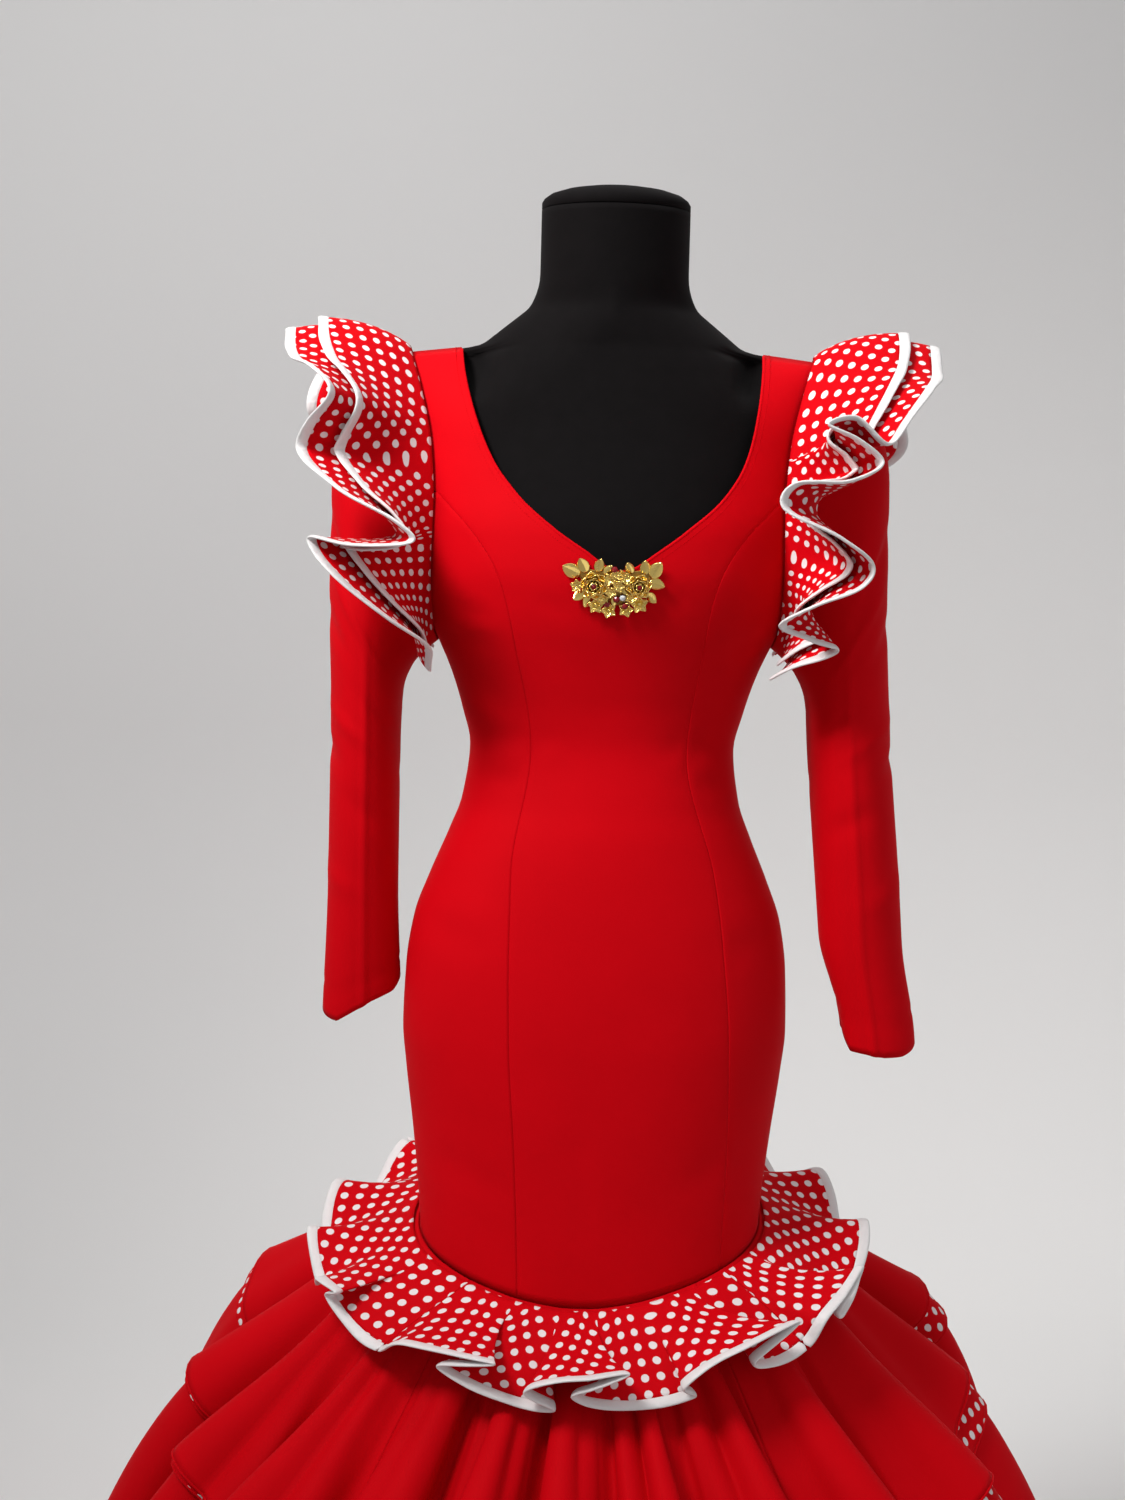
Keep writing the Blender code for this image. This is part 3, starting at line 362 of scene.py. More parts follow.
def dotted_crepe():
    """Red crepe printed with white dots, read from the flat cut. The cut is turned and
    divided into square cells; a point is in the dot if it is nearer than the dot's radius
    to the middle of its cell, with a slight waver and a soft edge."""
    made, tree, shader, place, drift = crepe("dotted crepe", (1.0, 0.10, 0.12))
    straight = node(tree, "TexCoord").outputs["UV"]
    turned = node(tree, "Mapping", {"Vector": straight, "Rotation": (0, 0, math.radians(PRINT_TURN))})
    spread = vector_maths(tree, "MULTIPLY", turned.outputs[0], (1 / DOT_PITCH, 1 / DOT_PITCH, 0))[0]
    within = vector_maths(tree, "FRACTION", spread)[0]
    centred = vector_maths(tree, "SUBTRACT", within, (0.5, 0.5, 0))[0]
    level = vector_maths(tree, "MULTIPLY", centred, (1, 1, 0))[0]
    far = vector_maths(tree, "LENGTH", level)["Value"]
    waver = maths(tree, "MULTIPLY", noise(tree, place, 700.0, 1.0), DOT_WAVER)
    edge, radius = DOT_EDGE / DOT_PITCH, DOT_RADIUS / DOT_PITCH + DOT_WAVER / 2
    dot = node(tree, "MapRange", {"Value": maths(tree, "ADD", far, waver), "From Min": radius + edge,
                                  "From Max": radius - edge}, interpolation_type="SMOOTHSTEP")
    paint(tree, shader, dot.outputs[0], mix_colour(tree, drift, RED_DEEP, RED_LIT), DOT_WHITE)
    return made


RED = red_crepe()
DOTTED = dotted_crepe()
print("crepes:", RED.name, DOTTED.name)


# %% Binding, jersey and metals
def white_binding():
    """Satin bias binding: smoother than crepe, with threads that run across it."""
    made, tree, shader = new_finish("white bias binding", (0.80, 0.785, 0.79), 0.5, Sheen_Weight=0.18,
                                    Sheen_Roughness=0.4, Specular_IOR_Level=0.4)
    flat = node(tree, "TexCoord").outputs["UV"]
    bias = node(tree, "Mapping", {"Vector": flat, "Rotation": (0, 0, math.radians(45))}).outputs[0]
    threads = node(tree, "TexWave", {"Vector": bias, "Scale": 800.0, "Distortion": 1.5,
                                     "Detail": 1.0}).outputs["Fac"]
    bump(tree, shader, threads, 0.00006, 0.35)
    place = on_piece(tree)
    bump(tree, shader, noise(tree, place, 210.0, 3.0), 0.0011, 0.8)
    paint(tree, shader, noise(tree, place, 30.0), (0.66, 0.645, 0.645), (0.76, 0.745, 0.745))
    return made


def black_jersey():
    """The form's stretched knit cover: near black, with a fine rib and a dusty sheen."""
    made, tree, shader = new_finish("black jersey", (0.0030, 0.0022, 0.0024), 0.85, Sheen_Weight=0.015,
                                    Sheen_Roughness=0.5, Specular_IOR_Level=0.08)
    place = on_piece(tree)
    rib = node(tree, "TexWave", {"Vector": place, "Scale": 420.0, "Distortion": 0.6},
               bands_direction="X").outputs["Fac"]
    bump(tree, shader, rib, 0.0001, 0.3)
    bump(tree, shader, noise(tree, place, 900.0), 0.0001, 0.3)
    lint = noise(tree, place, 60.0, 4.0, 0.7)
    paint(tree, shader, lint, (0.0016, 0.0011, 0.0012), (0.0040, 0.0030, 0.0033))
    return made


def cast_metal(name, colour, roughness, grain):
    """Cast or brushed metal: a slightly uneven face with small changes of gloss."""
    made, tree, shader = new_finish(name, colour, roughness, 1.0)
    cast = noise(tree, on_piece(tree), grain, 3.0)
    gloss = node(tree, "MapRange", {"Value": cast, "To Min": roughness * 0.75,
                                    "To Max": roughness * 1.3})
    tree.links.new(gloss.outputs[0], shader.inputs["Roughness"])
    bump(tree, shader, cast, 0.00008, 0.5)
    return made


def stone(name, colour):
    """Cut glass: clear gloss over one deep colour."""
    made, tree, shader = new_finish(name, colour, 0.10, Coat_Weight=0.25, Coat_Roughness=0.03,
                                    Specular_IOR_Level=0.35)
    paint(tree, shader, noise(tree, on_piece(tree), 500.0, 1.0), tuple(c * 0.5 for c in colour), colour)
    return made


BINDING = white_binding()
JERSEY = black_jersey()
GILT = cast_metal("gilt casting", (0.86, 0.63, 0.19), 0.19, 900.0)
# The back plate's gilt is far darker than the flowers' gilt: painted shade, for the shade that falls
# under the roses and leaves.
PAINTED_SHADE_GILT = cast_metal("gilt back plate with painted shade", (0.34, 0.19, 0.045), 0.42, 900.0)
STEEL = cast_metal("brushed steel", (0.56, 0.56, 0.57), 0.34, 350.0)
ZIP = cast_metal("lacquered zip", (0.42, 0.012, 0.022), 0.38, 1200.0)
GARNET = stone("garnet glass", (0.26, 0.003, 0.008))
CLEAR = stone("clear glass", (0.75, 0.77, 0.80))
print("finishes:", sorted(m.name for m in bpy.data.materials))

# %% [markdown]
# ## Camera, backdrop and light
# The view is a long-lens one, level with the chest and tipped down a little. A soft lamp
# above the front left models the folds, a weaker one on the right opens the shadows, one
# overhead rounds the shoulders, and one is for the wall. Wall and floor are one pale
# sweep, as in a studio. The wall is one-sided: its back lets everything through, so it
# doesn't hide the dress in a view from behind.

# %% Camera
VIEW_HEIGHT_PX = 1500       # the view is 1125 by 1500 pixels
FOCAL_PX = 2500.0
CAMERA_PLACE = Vector((-0.036, -2.30, 1.24))
CAMERA_PITCH = math.radians(4.6)
CAMERA_ROLL = math.radians(1.5)

lens = bpy.data.cameras.new("camera")
lens.sensor_width = 36.0
lens.lens = lens.sensor_width * FOCAL_PX / VIEW_HEIGHT_PX
camera = bpy.data.objects.new("camera", lens)
SCENE.collection.objects.link(camera)
camera.matrix_world = (Matrix.Translation(CAMERA_PLACE)
                       @ Matrix.Rotation(math.pi / 2 - CAMERA_PITCH, 4, "X")
                       @ Matrix.Rotation(CAMERA_ROLL, 4, "Z"))
SCENE.camera = camera
print("lens", lens.lens, "mm")


# %% Backdrop
SWEEP_RADIUS = 0.9
WALL_Y = 2.4
WALL_HEIGHT = 4.2
FLOOR_REACH = 5.0
UNDER_FEET = 0.0005         # the floor lies this far below the dress form's foot


def sweep():
    """Floor and wall as one sheet: level, then a quarter circle, then upright."""
    turn = np.linspace(0, math.pi / 2, 17)
    y = np.concatenate([[-FLOOR_REACH], WALL_Y - SWEEP_RADIUS + SWEEP_RADIUS * np.sin(turn), [WALL_Y]])
    z = np.concatenate([[0.0], SWEEP_RADIUS - SWEEP_RADIUS * np.cos(turn), [WALL_HEIGHT]]) - UNDER_FEET
    x = np.array([-FLOOR_REACH, FLOOR_REACH])
    grid = np.stack(np.broadcast_arrays(x[None, :], y[:, None], z[:, None]), axis=-1)
    made = mesh_object("sweep", grid.reshape(-1, 3), cells(*grid.shape[:2]))
    finish, tree, shader = new_finish("studio paper", (0.78, 0.775, 0.77), 0.9)
    paint(tree, shader, noise(tree, on_piece(tree), 0.8), (0.76, 0.755, 0.745), (0.81, 0.805, 0.80))
    one_sided = node(tree, "MixShader", {0: node(tree, "NewGeometry").outputs["Backfacing"],
                                         1: shader.outputs[0],
                                         2: node(tree, "BsdfTransparent").outputs[0]})
    tree.links.new(one_sided.outputs[0], tree.get_output_node("ALL").inputs["Surface"])
    made.data.materials.append(finish)
    print("sweep", grid.shape[:2], "points")


sweep()

# %% Lamps
LAMPS = {
    # name: place, aim, size, watts, colour, spread in degrees
    "key": ((-1.35, -1.25, 2.95), (0.05, 0, 1.40), 0.8, 11.5, (1.0, 0.985, 0.97), 62),
    "fill": ((2.2, -2.4, 1.7), (0, 0, 0.9), 2.2, 9, (0.97, 0.98, 1.0), 180),
    "top": ((0.3, 0.4, 3.6), (0, 0, 0.8), 2.0, 13, (1, 1, 1), 180),
    "wall": ((-0.9, 0.5, 3.0), (-0.5, 2.4, 0.9), 2.0, 9, (1, 1, 1), 110),
}
ROOM_LIGHT = {"Color": (0.93, 0.93, 0.94, 1), "Strength": 0.43}


def lamp(name, place, aim, size, watts, colour, spread):
    """A square soft lamp that faces a point."""
    light = bpy.data.lights.new(name, "AREA")
    light.size, light.energy, light.color, light.spread = size, watts, colour, math.radians(spread)
    made = bpy.data.objects.new(name, light)
    SCENE.collection.objects.link(made)
    direction = Vector(aim) - Vector(place)
    made.matrix_world = (Matrix.Translation(place)
                         @ direction.to_track_quat("-Z", "Y").to_matrix().to_4x4())


for name, settings in LAMPS.items():
    lamp(name, *settings)
world = bpy.data.worlds.new("studio")
world.use_nodes = True
for socket, value in ROOM_LIGHT.items():
    world.node_tree.nodes["Background"].inputs[socket].default_value = value
SCENE.world = world
SCENE.view_settings.view_transform = "Standard"
print("stage set")

# %% [markdown]
# ## The body under the cloth
# The dress is fitted, so its panels all lie on one surface: a stack of rounded sections,
# each with a half width and a depth in front and behind. The panels differ only in the
# two edges that bound them.

# %% Body sections
ROUNDNESS = 2.2             # power of the superellipse
PANEL_CLOTH = 0.0015        # thicknesses
FLOUNCE_CLOTH = 0.0012
GAP = 0.0003                # between neighbouring pieces
SHOULDER_Z = 1.421          # the shoulder seam: its level, its slope, the radius over it
SHOULDER_FALL = 0.12
SHOULDER_ROUND = 0.085
BEND_Z = 1.3386             # above this the rows tip to the seam's slope
STRAP_X = 0.1374            # the strap's inner end
UNDERARM = 1.154
NECK_LEVEL = 1.2208         # the neckline's lowest point, in front and behind
BACK_NECK_LEVEL = 1.2875
PRINCESS_TOP = 1.2875       # where the princess seams meet the armhole
ZIP_BOTTOM = 0.80
ZIP_EDGE = 0.0026           # distance of the back panels from the middle along the zip
HIP_ROW = 0.600             # level of the lowest row before it eases onto the seam

BODY = np.array([
    # z      half   front  back
    (0.560, 0.1555, 0.108, 0.108),
    (0.638, 0.1596, 0.109, 0.110),
    (0.700, 0.1660, 0.111, 0.115),
    (0.765, 0.1743, 0.114, 0.122),
    (0.800, 0.1776, 0.115, 0.127),
    (0.857, 0.1757, 0.114, 0.131),
    (0.901, 0.1693, 0.112, 0.128),
    (0.940, 0.1555, 0.109, 0.120),
    (0.981, 0.1385, 0.104, 0.108),
    (1.012, 0.1274, 0.098, 0.098),
    (1.060, 0.1214, 0.092, 0.089),
    (1.092, 0.1288, 0.096, 0.088),
    (1.123, 0.1385, 0.104, 0.090),
    (1.154, 0.1520, 0.114, 0.093),
    (1.165, 0.1580, 0.118, 0.094),
    (1.190, 0.1670, 0.125, 0.096),
    (1.221, 0.1735, 0.130, 0.098),
    (1.250, 0.1775, 0.128, 0.100),
    (1.300, 0.1830, 0.113, 0.101),
    (1.340, 0.1870, 0.099, 0.098),
    (1.380, 0.1920, 0.088, 0.090),
    (1.421, 0.1960, 0.078, 0.082),
])
ARMHOLE = np.array([
    # z      x
    (1.154, 0.1520), (1.165, 0.1555), (1.190, 0.1585), (1.214, 0.1590),
    (1.283, 0.1575), (1.330, 0.1610), (1.380, 0.1720), (1.421, 0.1850),
])
NECKLINE = np.array([
    # z       half    middle
    (1.2208, 0.0000, 0.0110), (1.2347, 0.0279, 0.0110), (1.2570, 0.0590, 0.0095),
    (1.2850, 0.0905, 0.0090), (1.3180, 0.1130, 0.0070), (1.3600, 0.1270, 0.0035),
    (1.3970, 0.1345, 0.0010), (1.4210, 0.1374, 0.0000),
])
BACK_NECKLINE = np.array([
    # z       half
    (1.2875, 0.0026), (1.3386, 0.0920), (1.3819, 0.1240), (1.4108, 0.1345), (1.4210, 0.1374),
])
PRINCESS = np.array([
    # z      right   left    back     x of the wearer's right and left seams, and of the back ones
    (0.560, -0.062, 0.118, 0.070),
    (0.700, -0.070, 0.122, 0.072),
    (0.800, -0.077, 0.120, 0.076),
    (0.890, -0.079, 0.112, 0.074),
    (0.950, -0.079, 0.103, 0.068),
    (1.060, -0.064, 0.075, 0.053),
    (1.154, -0.080, 0.086, 0.070),
    (1.193, -0.089, 0.092, 0.083),
    (1.221, -0.099, 0.101, 0.100),
    (1.250, -0.118, 0.119, 0.120),
    (1.2875, -0.1535, 0.1535, 0.1535),
])
print(len(BODY), "sections from", BODY[0, 0], "to", BODY[-1, 0], "m")


# %% Reading the tables
def at_level(table, level, column=1):
    """A table's column at a height; the first column holds the heights."""
    return through(level, table[:, 0], table[:, column])


def half_width(level):
    """The body's half width at a height."""
    return at_level(BODY, level)


def depth_at(level, behind):
    """The body's depth at a height, in front or behind."""
    return np.where(behind, at_level(BODY, level, 3), at_level(BODY, level, 2))


def armhole_x(level):
    """Distance of the armhole from the middle plane at a height."""
    return at_level(ARMHOLE, level)


def princess_x(level, column):
    """Place of a princess seam at a height: column 1 right, 2 left, 3 back."""
    return at_level(PRINCESS, level, column)


def bow(share):
    """Height of a superellipse at a share of its half width: (1 - |share|^n)^(1/n)."""
    return np.maximum(1 - np.abs(share) ** ROUNDNESS, 0) ** (1 / ROUNDNESS)


print("waist", 2 * float(half_width(1.06)), "m wide")


# %% The body's surface
def body(x, level, behind):
    """The point at x and a height level: y is the depth times a superellipse of x over the
    half width, rounded over the shoulder; above BEND_Z the level tips to the shoulder seam."""
    x, level, behind = np.broadcast_arrays(np.asarray(x, float), level, behind)
    section = bow(np.clip(x / half_width(level), -1, 1))
    under = np.clip((SHOULDER_Z - level) / SHOULDER_ROUND, 0, 1)
    over_shoulder = np.sqrt(np.maximum(1 - (1 - under) ** 2, 0))
    y = depth_at(level, behind) * section * over_shoulder * np.where(behind, 1, -1)
    bend = np.clip((level - BEND_Z) / (SHOULDER_Z - BEND_Z), 0, 1)
    fall = SHOULDER_FALL * np.maximum(np.abs(x) - STRAP_X, 0)
    return np.stack([x, y, level - bend * fall], axis=-1)


def body_at(turn, level):
    """The same surface by its turn: 0 in front, a quarter at the wearer's left, a half behind."""
    return body(half_width(level) * np.sin(turn), level, np.cos(turn) < 0)


def body_normal(turn, level):
    """Its outward normal, from points a little way off on each side."""
    near, step = 0.01, 0.001
    along = body_at(turn + near, level) - body_at(turn - near, level)
    up = body_at(turn, level + step) - body_at(turn, level - step)
    top = np.asarray(level) >= SHOULDER_Z - 1e-6
    return np.where(top[..., None], UP, unit(np.cross(along, up)))


def turn_of(x, level):
    """The turn at which the surface's front has this x; pi less it is the turn behind."""
    return np.arcsin(np.clip(x / half_width(level), -1, 1))


def seam_height(azimuth):
    """Height of the U-shaped hip seam: lowest in front, highest behind."""
    return 0.617 - 0.055 * np.cos(azimuth) + 0.005 * np.sin(azimuth)


def hip_seam(azimuth):
    """The hip seam's point at a plan azimuth: the superellipse in polar form."""
    z = seam_height(azimuth)
    depth = depth_at(z, np.cos(azimuth) < 0)
    radius = (np.abs(np.sin(azimuth) / half_width(z)) ** ROUNDNESS
              + np.abs(np.cos(azimuth) / depth) ** ROUNDNESS) ** (-1 / ROUNDNESS)
    return np.stack([radius * np.sin(azimuth), -radius * np.cos(azimuth), z], axis=-1)


print("waist round", round(float(lengths(body_at(np.linspace(0, 2 * np.pi, 200), 1.06)).max()), 3), "m")

# %% [markdown]
# ## Creases
# A fitted panel is smooth, but not perfectly: it drags towards the underarm, folds a
# little at the waist and dips where a seam pulls it in. Each crease is a soft trough or
# ridge along a line between two places, and its depth fades at both ends.

# %% Crease table
FRONT_CREASES = np.array([
    # from_x  from_z   to_x    to_z   width   lift   all in metres; lift < 0 is a trough
    (-0.152, 1.190, -0.098, 1.176, 0.0070, -0.0016),
    (-0.150, 1.176, -0.090, 1.166, 0.0060, 0.0012),
    (-0.147, 1.160, -0.102, 1.152, 0.0060, -0.0013),
    (0.152, 1.196, 0.096, 1.180, 0.0070, -0.0014),
    (0.150, 1.182, 0.104, 1.168, 0.0060, 0.0011),
    (0.146, 1.164, 0.100, 1.152, 0.0060, -0.0012),
    (-0.062, 1.196, -0.030, 1.180, 0.0060, -0.0009),
    (0.070, 1.200, 0.040, 1.184, 0.0060, -0.0009),
    (-0.116, 1.078, -0.040, 1.066, 0.0110, -0.0016),
    (-0.110, 1.052, -0.030, 1.058, 0.0100, 0.0012),
    (0.116, 1.074, 0.050, 1.062, 0.0110, -0.0014),
    (0.114, 1.046, 0.046, 1.050, 0.0100, 0.0010),
    (-0.118, 1.030, -0.060, 1.036, 0.0090, -0.0012),
    (0.120, 1.028, 0.072, 1.034, 0.0090, -0.0010),
    (-0.164, 0.905, -0.090, 0.880, 0.0160, -0.0012),
    (0.160, 0.900, 0.096, 0.872, 0.0160, -0.0010),
    (-0.150, 0.690, -0.060, 0.660, 0.0150, -0.0016),
    (0.150, 0.700, 0.070, 0.668, 0.0150, -0.0014),
    (-0.020, 0.720, 0.010, 0.610, 0.0140, -0.0010),
])
BACK_CREASES = FRONT_CREASES * np.array([-1, 1, -1, 1, 1.15, 0.9])


def crease_lift(x, z, table):
    """Sum over the table of lift * exp(-(distance from the line / width)^2), faded to
    nothing towards both ends of each line."""
    total = np.zeros(np.broadcast(x, z).shape)
    for from_x, from_z, to_x, to_z, width, lift in table:
        run = np.array([to_x - from_x, to_z - from_z])
        length = np.linalg.norm(run)
        along = ((x - from_x) * run[0] + (z - from_z) * run[1]) / length ** 2
        across = ((x - from_x) * run[1] - (z - from_z) * run[0]) / length
        fade = soft(along / 0.35 + 0.3) * soft((1 - along) / 0.5 + 0.2)
        total += lift * fade * np.exp(-(across / width) ** 2)
    return total


print(len(FRONT_CREASES), "creases in front and as many behind")

# %% [markdown]
# ## Panels
# Each panel is a net between its two seams. At a seam the cloth turns in to its
# allowance, so the last few millimetres dip: that line is what shows a princess seam
# on plain red cloth.


# %% Panel maker
SEAM_DIP = 0.00035
SEAM_REACH_IN = 0.0030
PANEL_STEP = 0.0065         # spacing of the points
PANEL_STEPS = 26            # cells from seam to seam
DRAWN = 0.9                 # a drawn wall is a little thinner than its solid
FOOT_CLEAR = 0.0004         # height of the lowest row over the hip seam
FOOT_FROM = 0.700           # level below which the rows ease onto the seam
SMOOTH_EDGE = 0.010         # creases fade this near to a seam


def edge_shares(steps):
    """Shares from 0 to 1, packed closer near both edges: (1 - cos(pi t)) / 2, blended with t."""
    t = np.linspace(0, 1, steps + 1)
    return 0.35 * t + 0.65 * (1 - np.cos(np.pi * t)) / 2


def panel_levels(high, start=HIP_ROW):
    """Row levels from the hip seam's row to the panel's top."""
    return np.linspace(start, high, int(round((high - start) / PANEL_STEP)) + 1)


def panel_net(first, last, levels):
    """Turns and levels of the net between two edges; the lowest rows ease onto the hip seam."""
    share = edge_shares(PANEL_STEPS)[None, :]
    turns = first[:, None] * (1 - share) + last[:, None] * share
    level = np.repeat(levels[:, None], PANEL_STEPS + 1, axis=1)
    foot = body_at(turns[0], level[0])
    lowest = seam_height(np.arctan2(foot[:, 0], -foot[:, 1])) + FOOT_CLEAR
    ease = np.clip((FOOT_FROM - level) / (FOOT_FROM - HIP_ROW), 0, 1)
    return turns, level + ease * (lowest - HIP_ROW)[None, :]


def dressed(turns, levels, from_first, from_last):
    """Points and normals of a panel, dipped along its edges and creased: from_first and
    from_last say how deep each edge dips, as a share of SEAM_DIP."""
    middle = body_at(turns, levels)
    normals = body_normal(turns, levels)
    run = np.concatenate([np.zeros((len(turns), 1)), np.cumsum(spans(middle, 1), axis=1)], axis=1)
    left = run[:, -1:] - run
    dip = SEAM_DIP * (from_first * np.exp(-(run / SEAM_REACH_IN) ** 2)
                      + from_last * np.exp(-(left / SEAM_REACH_IN) ** 2))
    x, z = middle[..., 0], middle[..., 2]
    lift = np.where(np.cos(turns) < 0, crease_lift(x, z, BACK_CREASES), crease_lift(x, z, FRONT_CREASES))
    near_edge = 1 - np.exp(-(np.minimum(run, left) / SMOOTH_EDGE) ** 2)
    middle = middle + normals * (lift * near_edge - dip - PANEL_CLOTH / 2)[..., None]
    return middle, normals


def make_panel(name, first, last, levels, from_last=1.0):
    """One panel: its net, its wall and its finish."""
    middle, normals = dressed(*panel_net(first, last, levels), 1.0, from_last)
    piece = cloth(name + "_cloth", middle, normals, PANEL_CLOTH * DRAWN)
    dress_piece(piece, RED, "red_crepe", name)


print("shares across a panel:", edge_shares(4).round(3))


# %% Side and back panels
QUARTER = np.pi / 2
ARM_SEAM = UNDERARM + 0.0001
SEAM_GAP = GAP / 8          # from a panel's edge to the seam line
SIDE_GAP = 0.001            # the same at the side seam, as a turn
ZIP_DIP = 0.6               # the edge at the zip dips less than a seam

for tag, side, column in (("R", -1, 1), ("L", 1, 2)):
    levels = panel_levels(PRINCESS_TOP)
    open_x = armhole_x(levels)
    seam = turn_of(princess_x(levels, column) + side * SEAM_GAP, levels)
    outside = np.where(levels > ARM_SEAM, turn_of(side * open_x, levels), side * (QUARTER - SIDE_GAP))
    make_panel("side_front_" + tag, seam, outside, levels)
    back_x = side * princess_x(levels, 3)
    seam = side * (np.pi - np.abs(turn_of(np.abs(back_x) + SEAM_GAP, levels)))
    outside = np.where(levels > ARM_SEAM, side * (np.pi - turn_of(open_x, levels)),
                       side * (QUARTER + SIDE_GAP))
    make_panel("side_back_" + tag, outside, seam, levels)
    levels = panel_levels(SHOULDER_Z)
    outside = np.where(levels > PRINCESS_TOP + 0.001, armhole_x(levels),
                       princess_x(levels, 3) - SEAM_GAP)
    inside = np.where(levels > BACK_NECK_LEVEL, at_level(BACK_NECKLINE, levels),
                      np.where(levels > ZIP_BOTTOM - 0.001, ZIP_EDGE * 0.6, GAP))
    edges = [side * (np.pi - turn_of(x, levels)) for x in (outside, inside)]
    make_panel("back_" + tag, *edges, levels, ZIP_DIP)

# %% [markdown]
# ## Front panel and neckline
# The front is one piece up to the neckline's point and two straps above it. The neckline
# is turned to the inside over a narrow strip, so its edge is a soft roll, and the strip is
# understitched a few millimetres out, which draws a shallow line round the neck.

# %% Neckline
def neck_half(levels):
    """Half width of the neckline: smooth in the square root of the height above its point,
    which makes the point a small round, not a corner."""
    up = np.sqrt(np.maximum(levels - NECK_LEVEL, 0))
    return through(up, np.sqrt(NECKLINE[:, 0] - NECK_LEVEL), NECKLINE[:, 1])


def neck_middle(levels):
    """The line halfway between the neckline's two sides."""
    return at_level(NECKLINE, levels, 2)


def neck_line(offset, count):
    """Points and normals along the neckline from the right strap to the left, offset
    outwards over the cloth: levels are even in the square root of the height."""
    up = np.linspace(-1, 1, count)
    levels = NECK_LEVEL + (SHOULDER_Z - NECK_LEVEL) * up ** 2
    x = neck_middle(levels) + np.sign(up) * neck_half(levels)
    turns = turn_of(x, levels)
    points, normals = body_at(turns, levels), body_normal(turns, levels)
    tangent = unit(np.gradient(points, axis=0))
    outwards = unit(np.cross(normals, tangent))
    if outwards[count // 2, 2] > 0:
        outwards = -outwards
    return points + outwards * offset, normals, tangent


print("neckline", round(float(lengths(neck_line(0, 200)[0])[-1]), 3), "m long")


# %% Front panel
def front_levels():
    """Rows of the front: even below the point, then closer where the neckline is shallow."""
    above = NECK_LEVEL + (SHOULDER_Z - NECK_LEVEL) * np.linspace(0, 1, 48)[1:] ** 1.7
    return np.concatenate([panel_levels(NECK_LEVEL), above])


def make_front():
    """The front panel: two nets side by side that share their middle column up to the point."""
    levels = front_levels()
    turns, heights = [], []
    for side, column in ((-1, 1), (1, 2)):
        outside = np.where(levels > PRINCESS_TOP + 0.001, side * armhole_x(levels),
                           princess_x(levels, column) - side * SEAM_GAP)
        inside = np.where(levels > NECK_LEVEL, neck_middle(levels) + side * neck_half(levels),
                          NECKLINE[0, 2])
        edges = [turn_of(outside, levels), turn_of(inside, levels)][::-side]
        t, h = panel_net(*edges, levels)
        turns.append(t)
        heights.append(h)
    nets = [dressed(turns[0], heights[0], 1.0, 0.0), dressed(turns[1], heights[1], 0.0, 1.0)]
    middle = np.hstack([net[0] for net in nets])
    normals = np.hstack([net[1] for net in nets])
    rows, columns = middle.shape[:2]
    index = np.arange(rows * columns).reshape(rows, columns)
    joined, last = levels <= NECK_LEVEL, PANEL_STEPS
    index[joined, last + 1] = index[joined, last]
    quads = np.vstack([quads_between(index[:, :last + 1]), quads_between(index[:, last + 1:])])
    half = normals * PANEL_CLOTH * DRAWN / 2
    piece = wall("front_centre_cloth", middle + half, middle - half, quads=quads)
    return dress_piece(piece, RED, "red_crepe", "front_centre")


front = make_front()


# %% Rods and stitches
def ring_round(across, up, sides, flat=1.0):
    """Offsets of a ring's points: across * cos + up * sin * flat, for each row."""
    turn = np.linspace(0, 2 * np.pi, sides, endpoint=False)
    return (across[:, None] * np.cos(turn)[None, :, None]
            + up[:, None] * np.sin(turn)[None, :, None] * flat)


def ribbon_tube(name, points, normals, tangent, radius, flat, sides=10):
    """A rod along a path: a circle in each point's normal plane, pressed by flat along the
    normal, with closed round ends."""
    swell = np.ones(len(points))
    swell[[0, -1]] = 0.05
    ring = ring_round(unit(np.cross(normals, tangent)), normals, sides, flat)
    grid = points[:, None] + ring * (radius * swell)[:, None, None]
    points, quads = grid.reshape(-1, 3), capped(len(swell), sides)
    return mesh_object(name, points, outward(points, quads))


def stitches(name, points, normals, length, radius, sides=6):
    """A row of stitches along a path: a small capsule every length, 0.7 of it long."""
    run = lengths(points)
    count = int(run[-1] / length)
    t = (np.arange(count) + 0.5) * run[-1] / count
    spine = np.array([-0.5, -0.42, 0.42, 0.5]) * length * 0.7
    swell = np.array([0.15, 1.0, 1.0, 0.15]) * radius
    place = placed_along(t[:, None] + spine[None, :], run, points)
    up = unit(placed_along(t, run, normals))
    along = unit(place[:, -1] - place[:, 0])
    ring = ring_round(np.cross(along, up), up, sides)
    grid = place[:, :, None] + ring[:, None] * swell[None, :, None, None]
    first = np.arange(count) * len(spine) * sides
    quads = (capped(len(spine), sides)[None] + first[:, None, None]).reshape(-1, 4)
    points = grid.reshape(-1, 3)
    return mesh_object(name, points, outward(points, quads))


print("a stitch has", len(capped(4, 6)), "quads")

# %% Neck edge
NECK_ROLL = 0.0016          # radius of the turned edge
UNDERSTITCH = 0.0052        # distance of the stitched line from the edge
STITCH_LENGTH = 0.0026
STITCH_RADIUS = 0.0003

edge, facing, along = neck_line(-0.0002, 260)
roll = ribbon_tube("neck_roll", edge - facing * 0.0009, facing, along, NECK_ROLL, 0.75)
dress_piece(roll, RED, "red_crepe")
line, facing, _ = neck_line(UNDERSTITCH, 400)
understitch = stitches("neck_understitch", line - facing * 0.00025, facing, STITCH_LENGTH, STITCH_RADIUS)
dress_piece(understitch, RED, "red_crepe")

# %% [markdown]
# ## Sleeves
# A set-in sleeve is a tapering tube. Its first ring is the armhole itself, and each ring
# below is an oval between an inner and an outer line. It was pressed flat, so a crease
# runs down its front, and it folds softly at the elbow where the arm would bend.

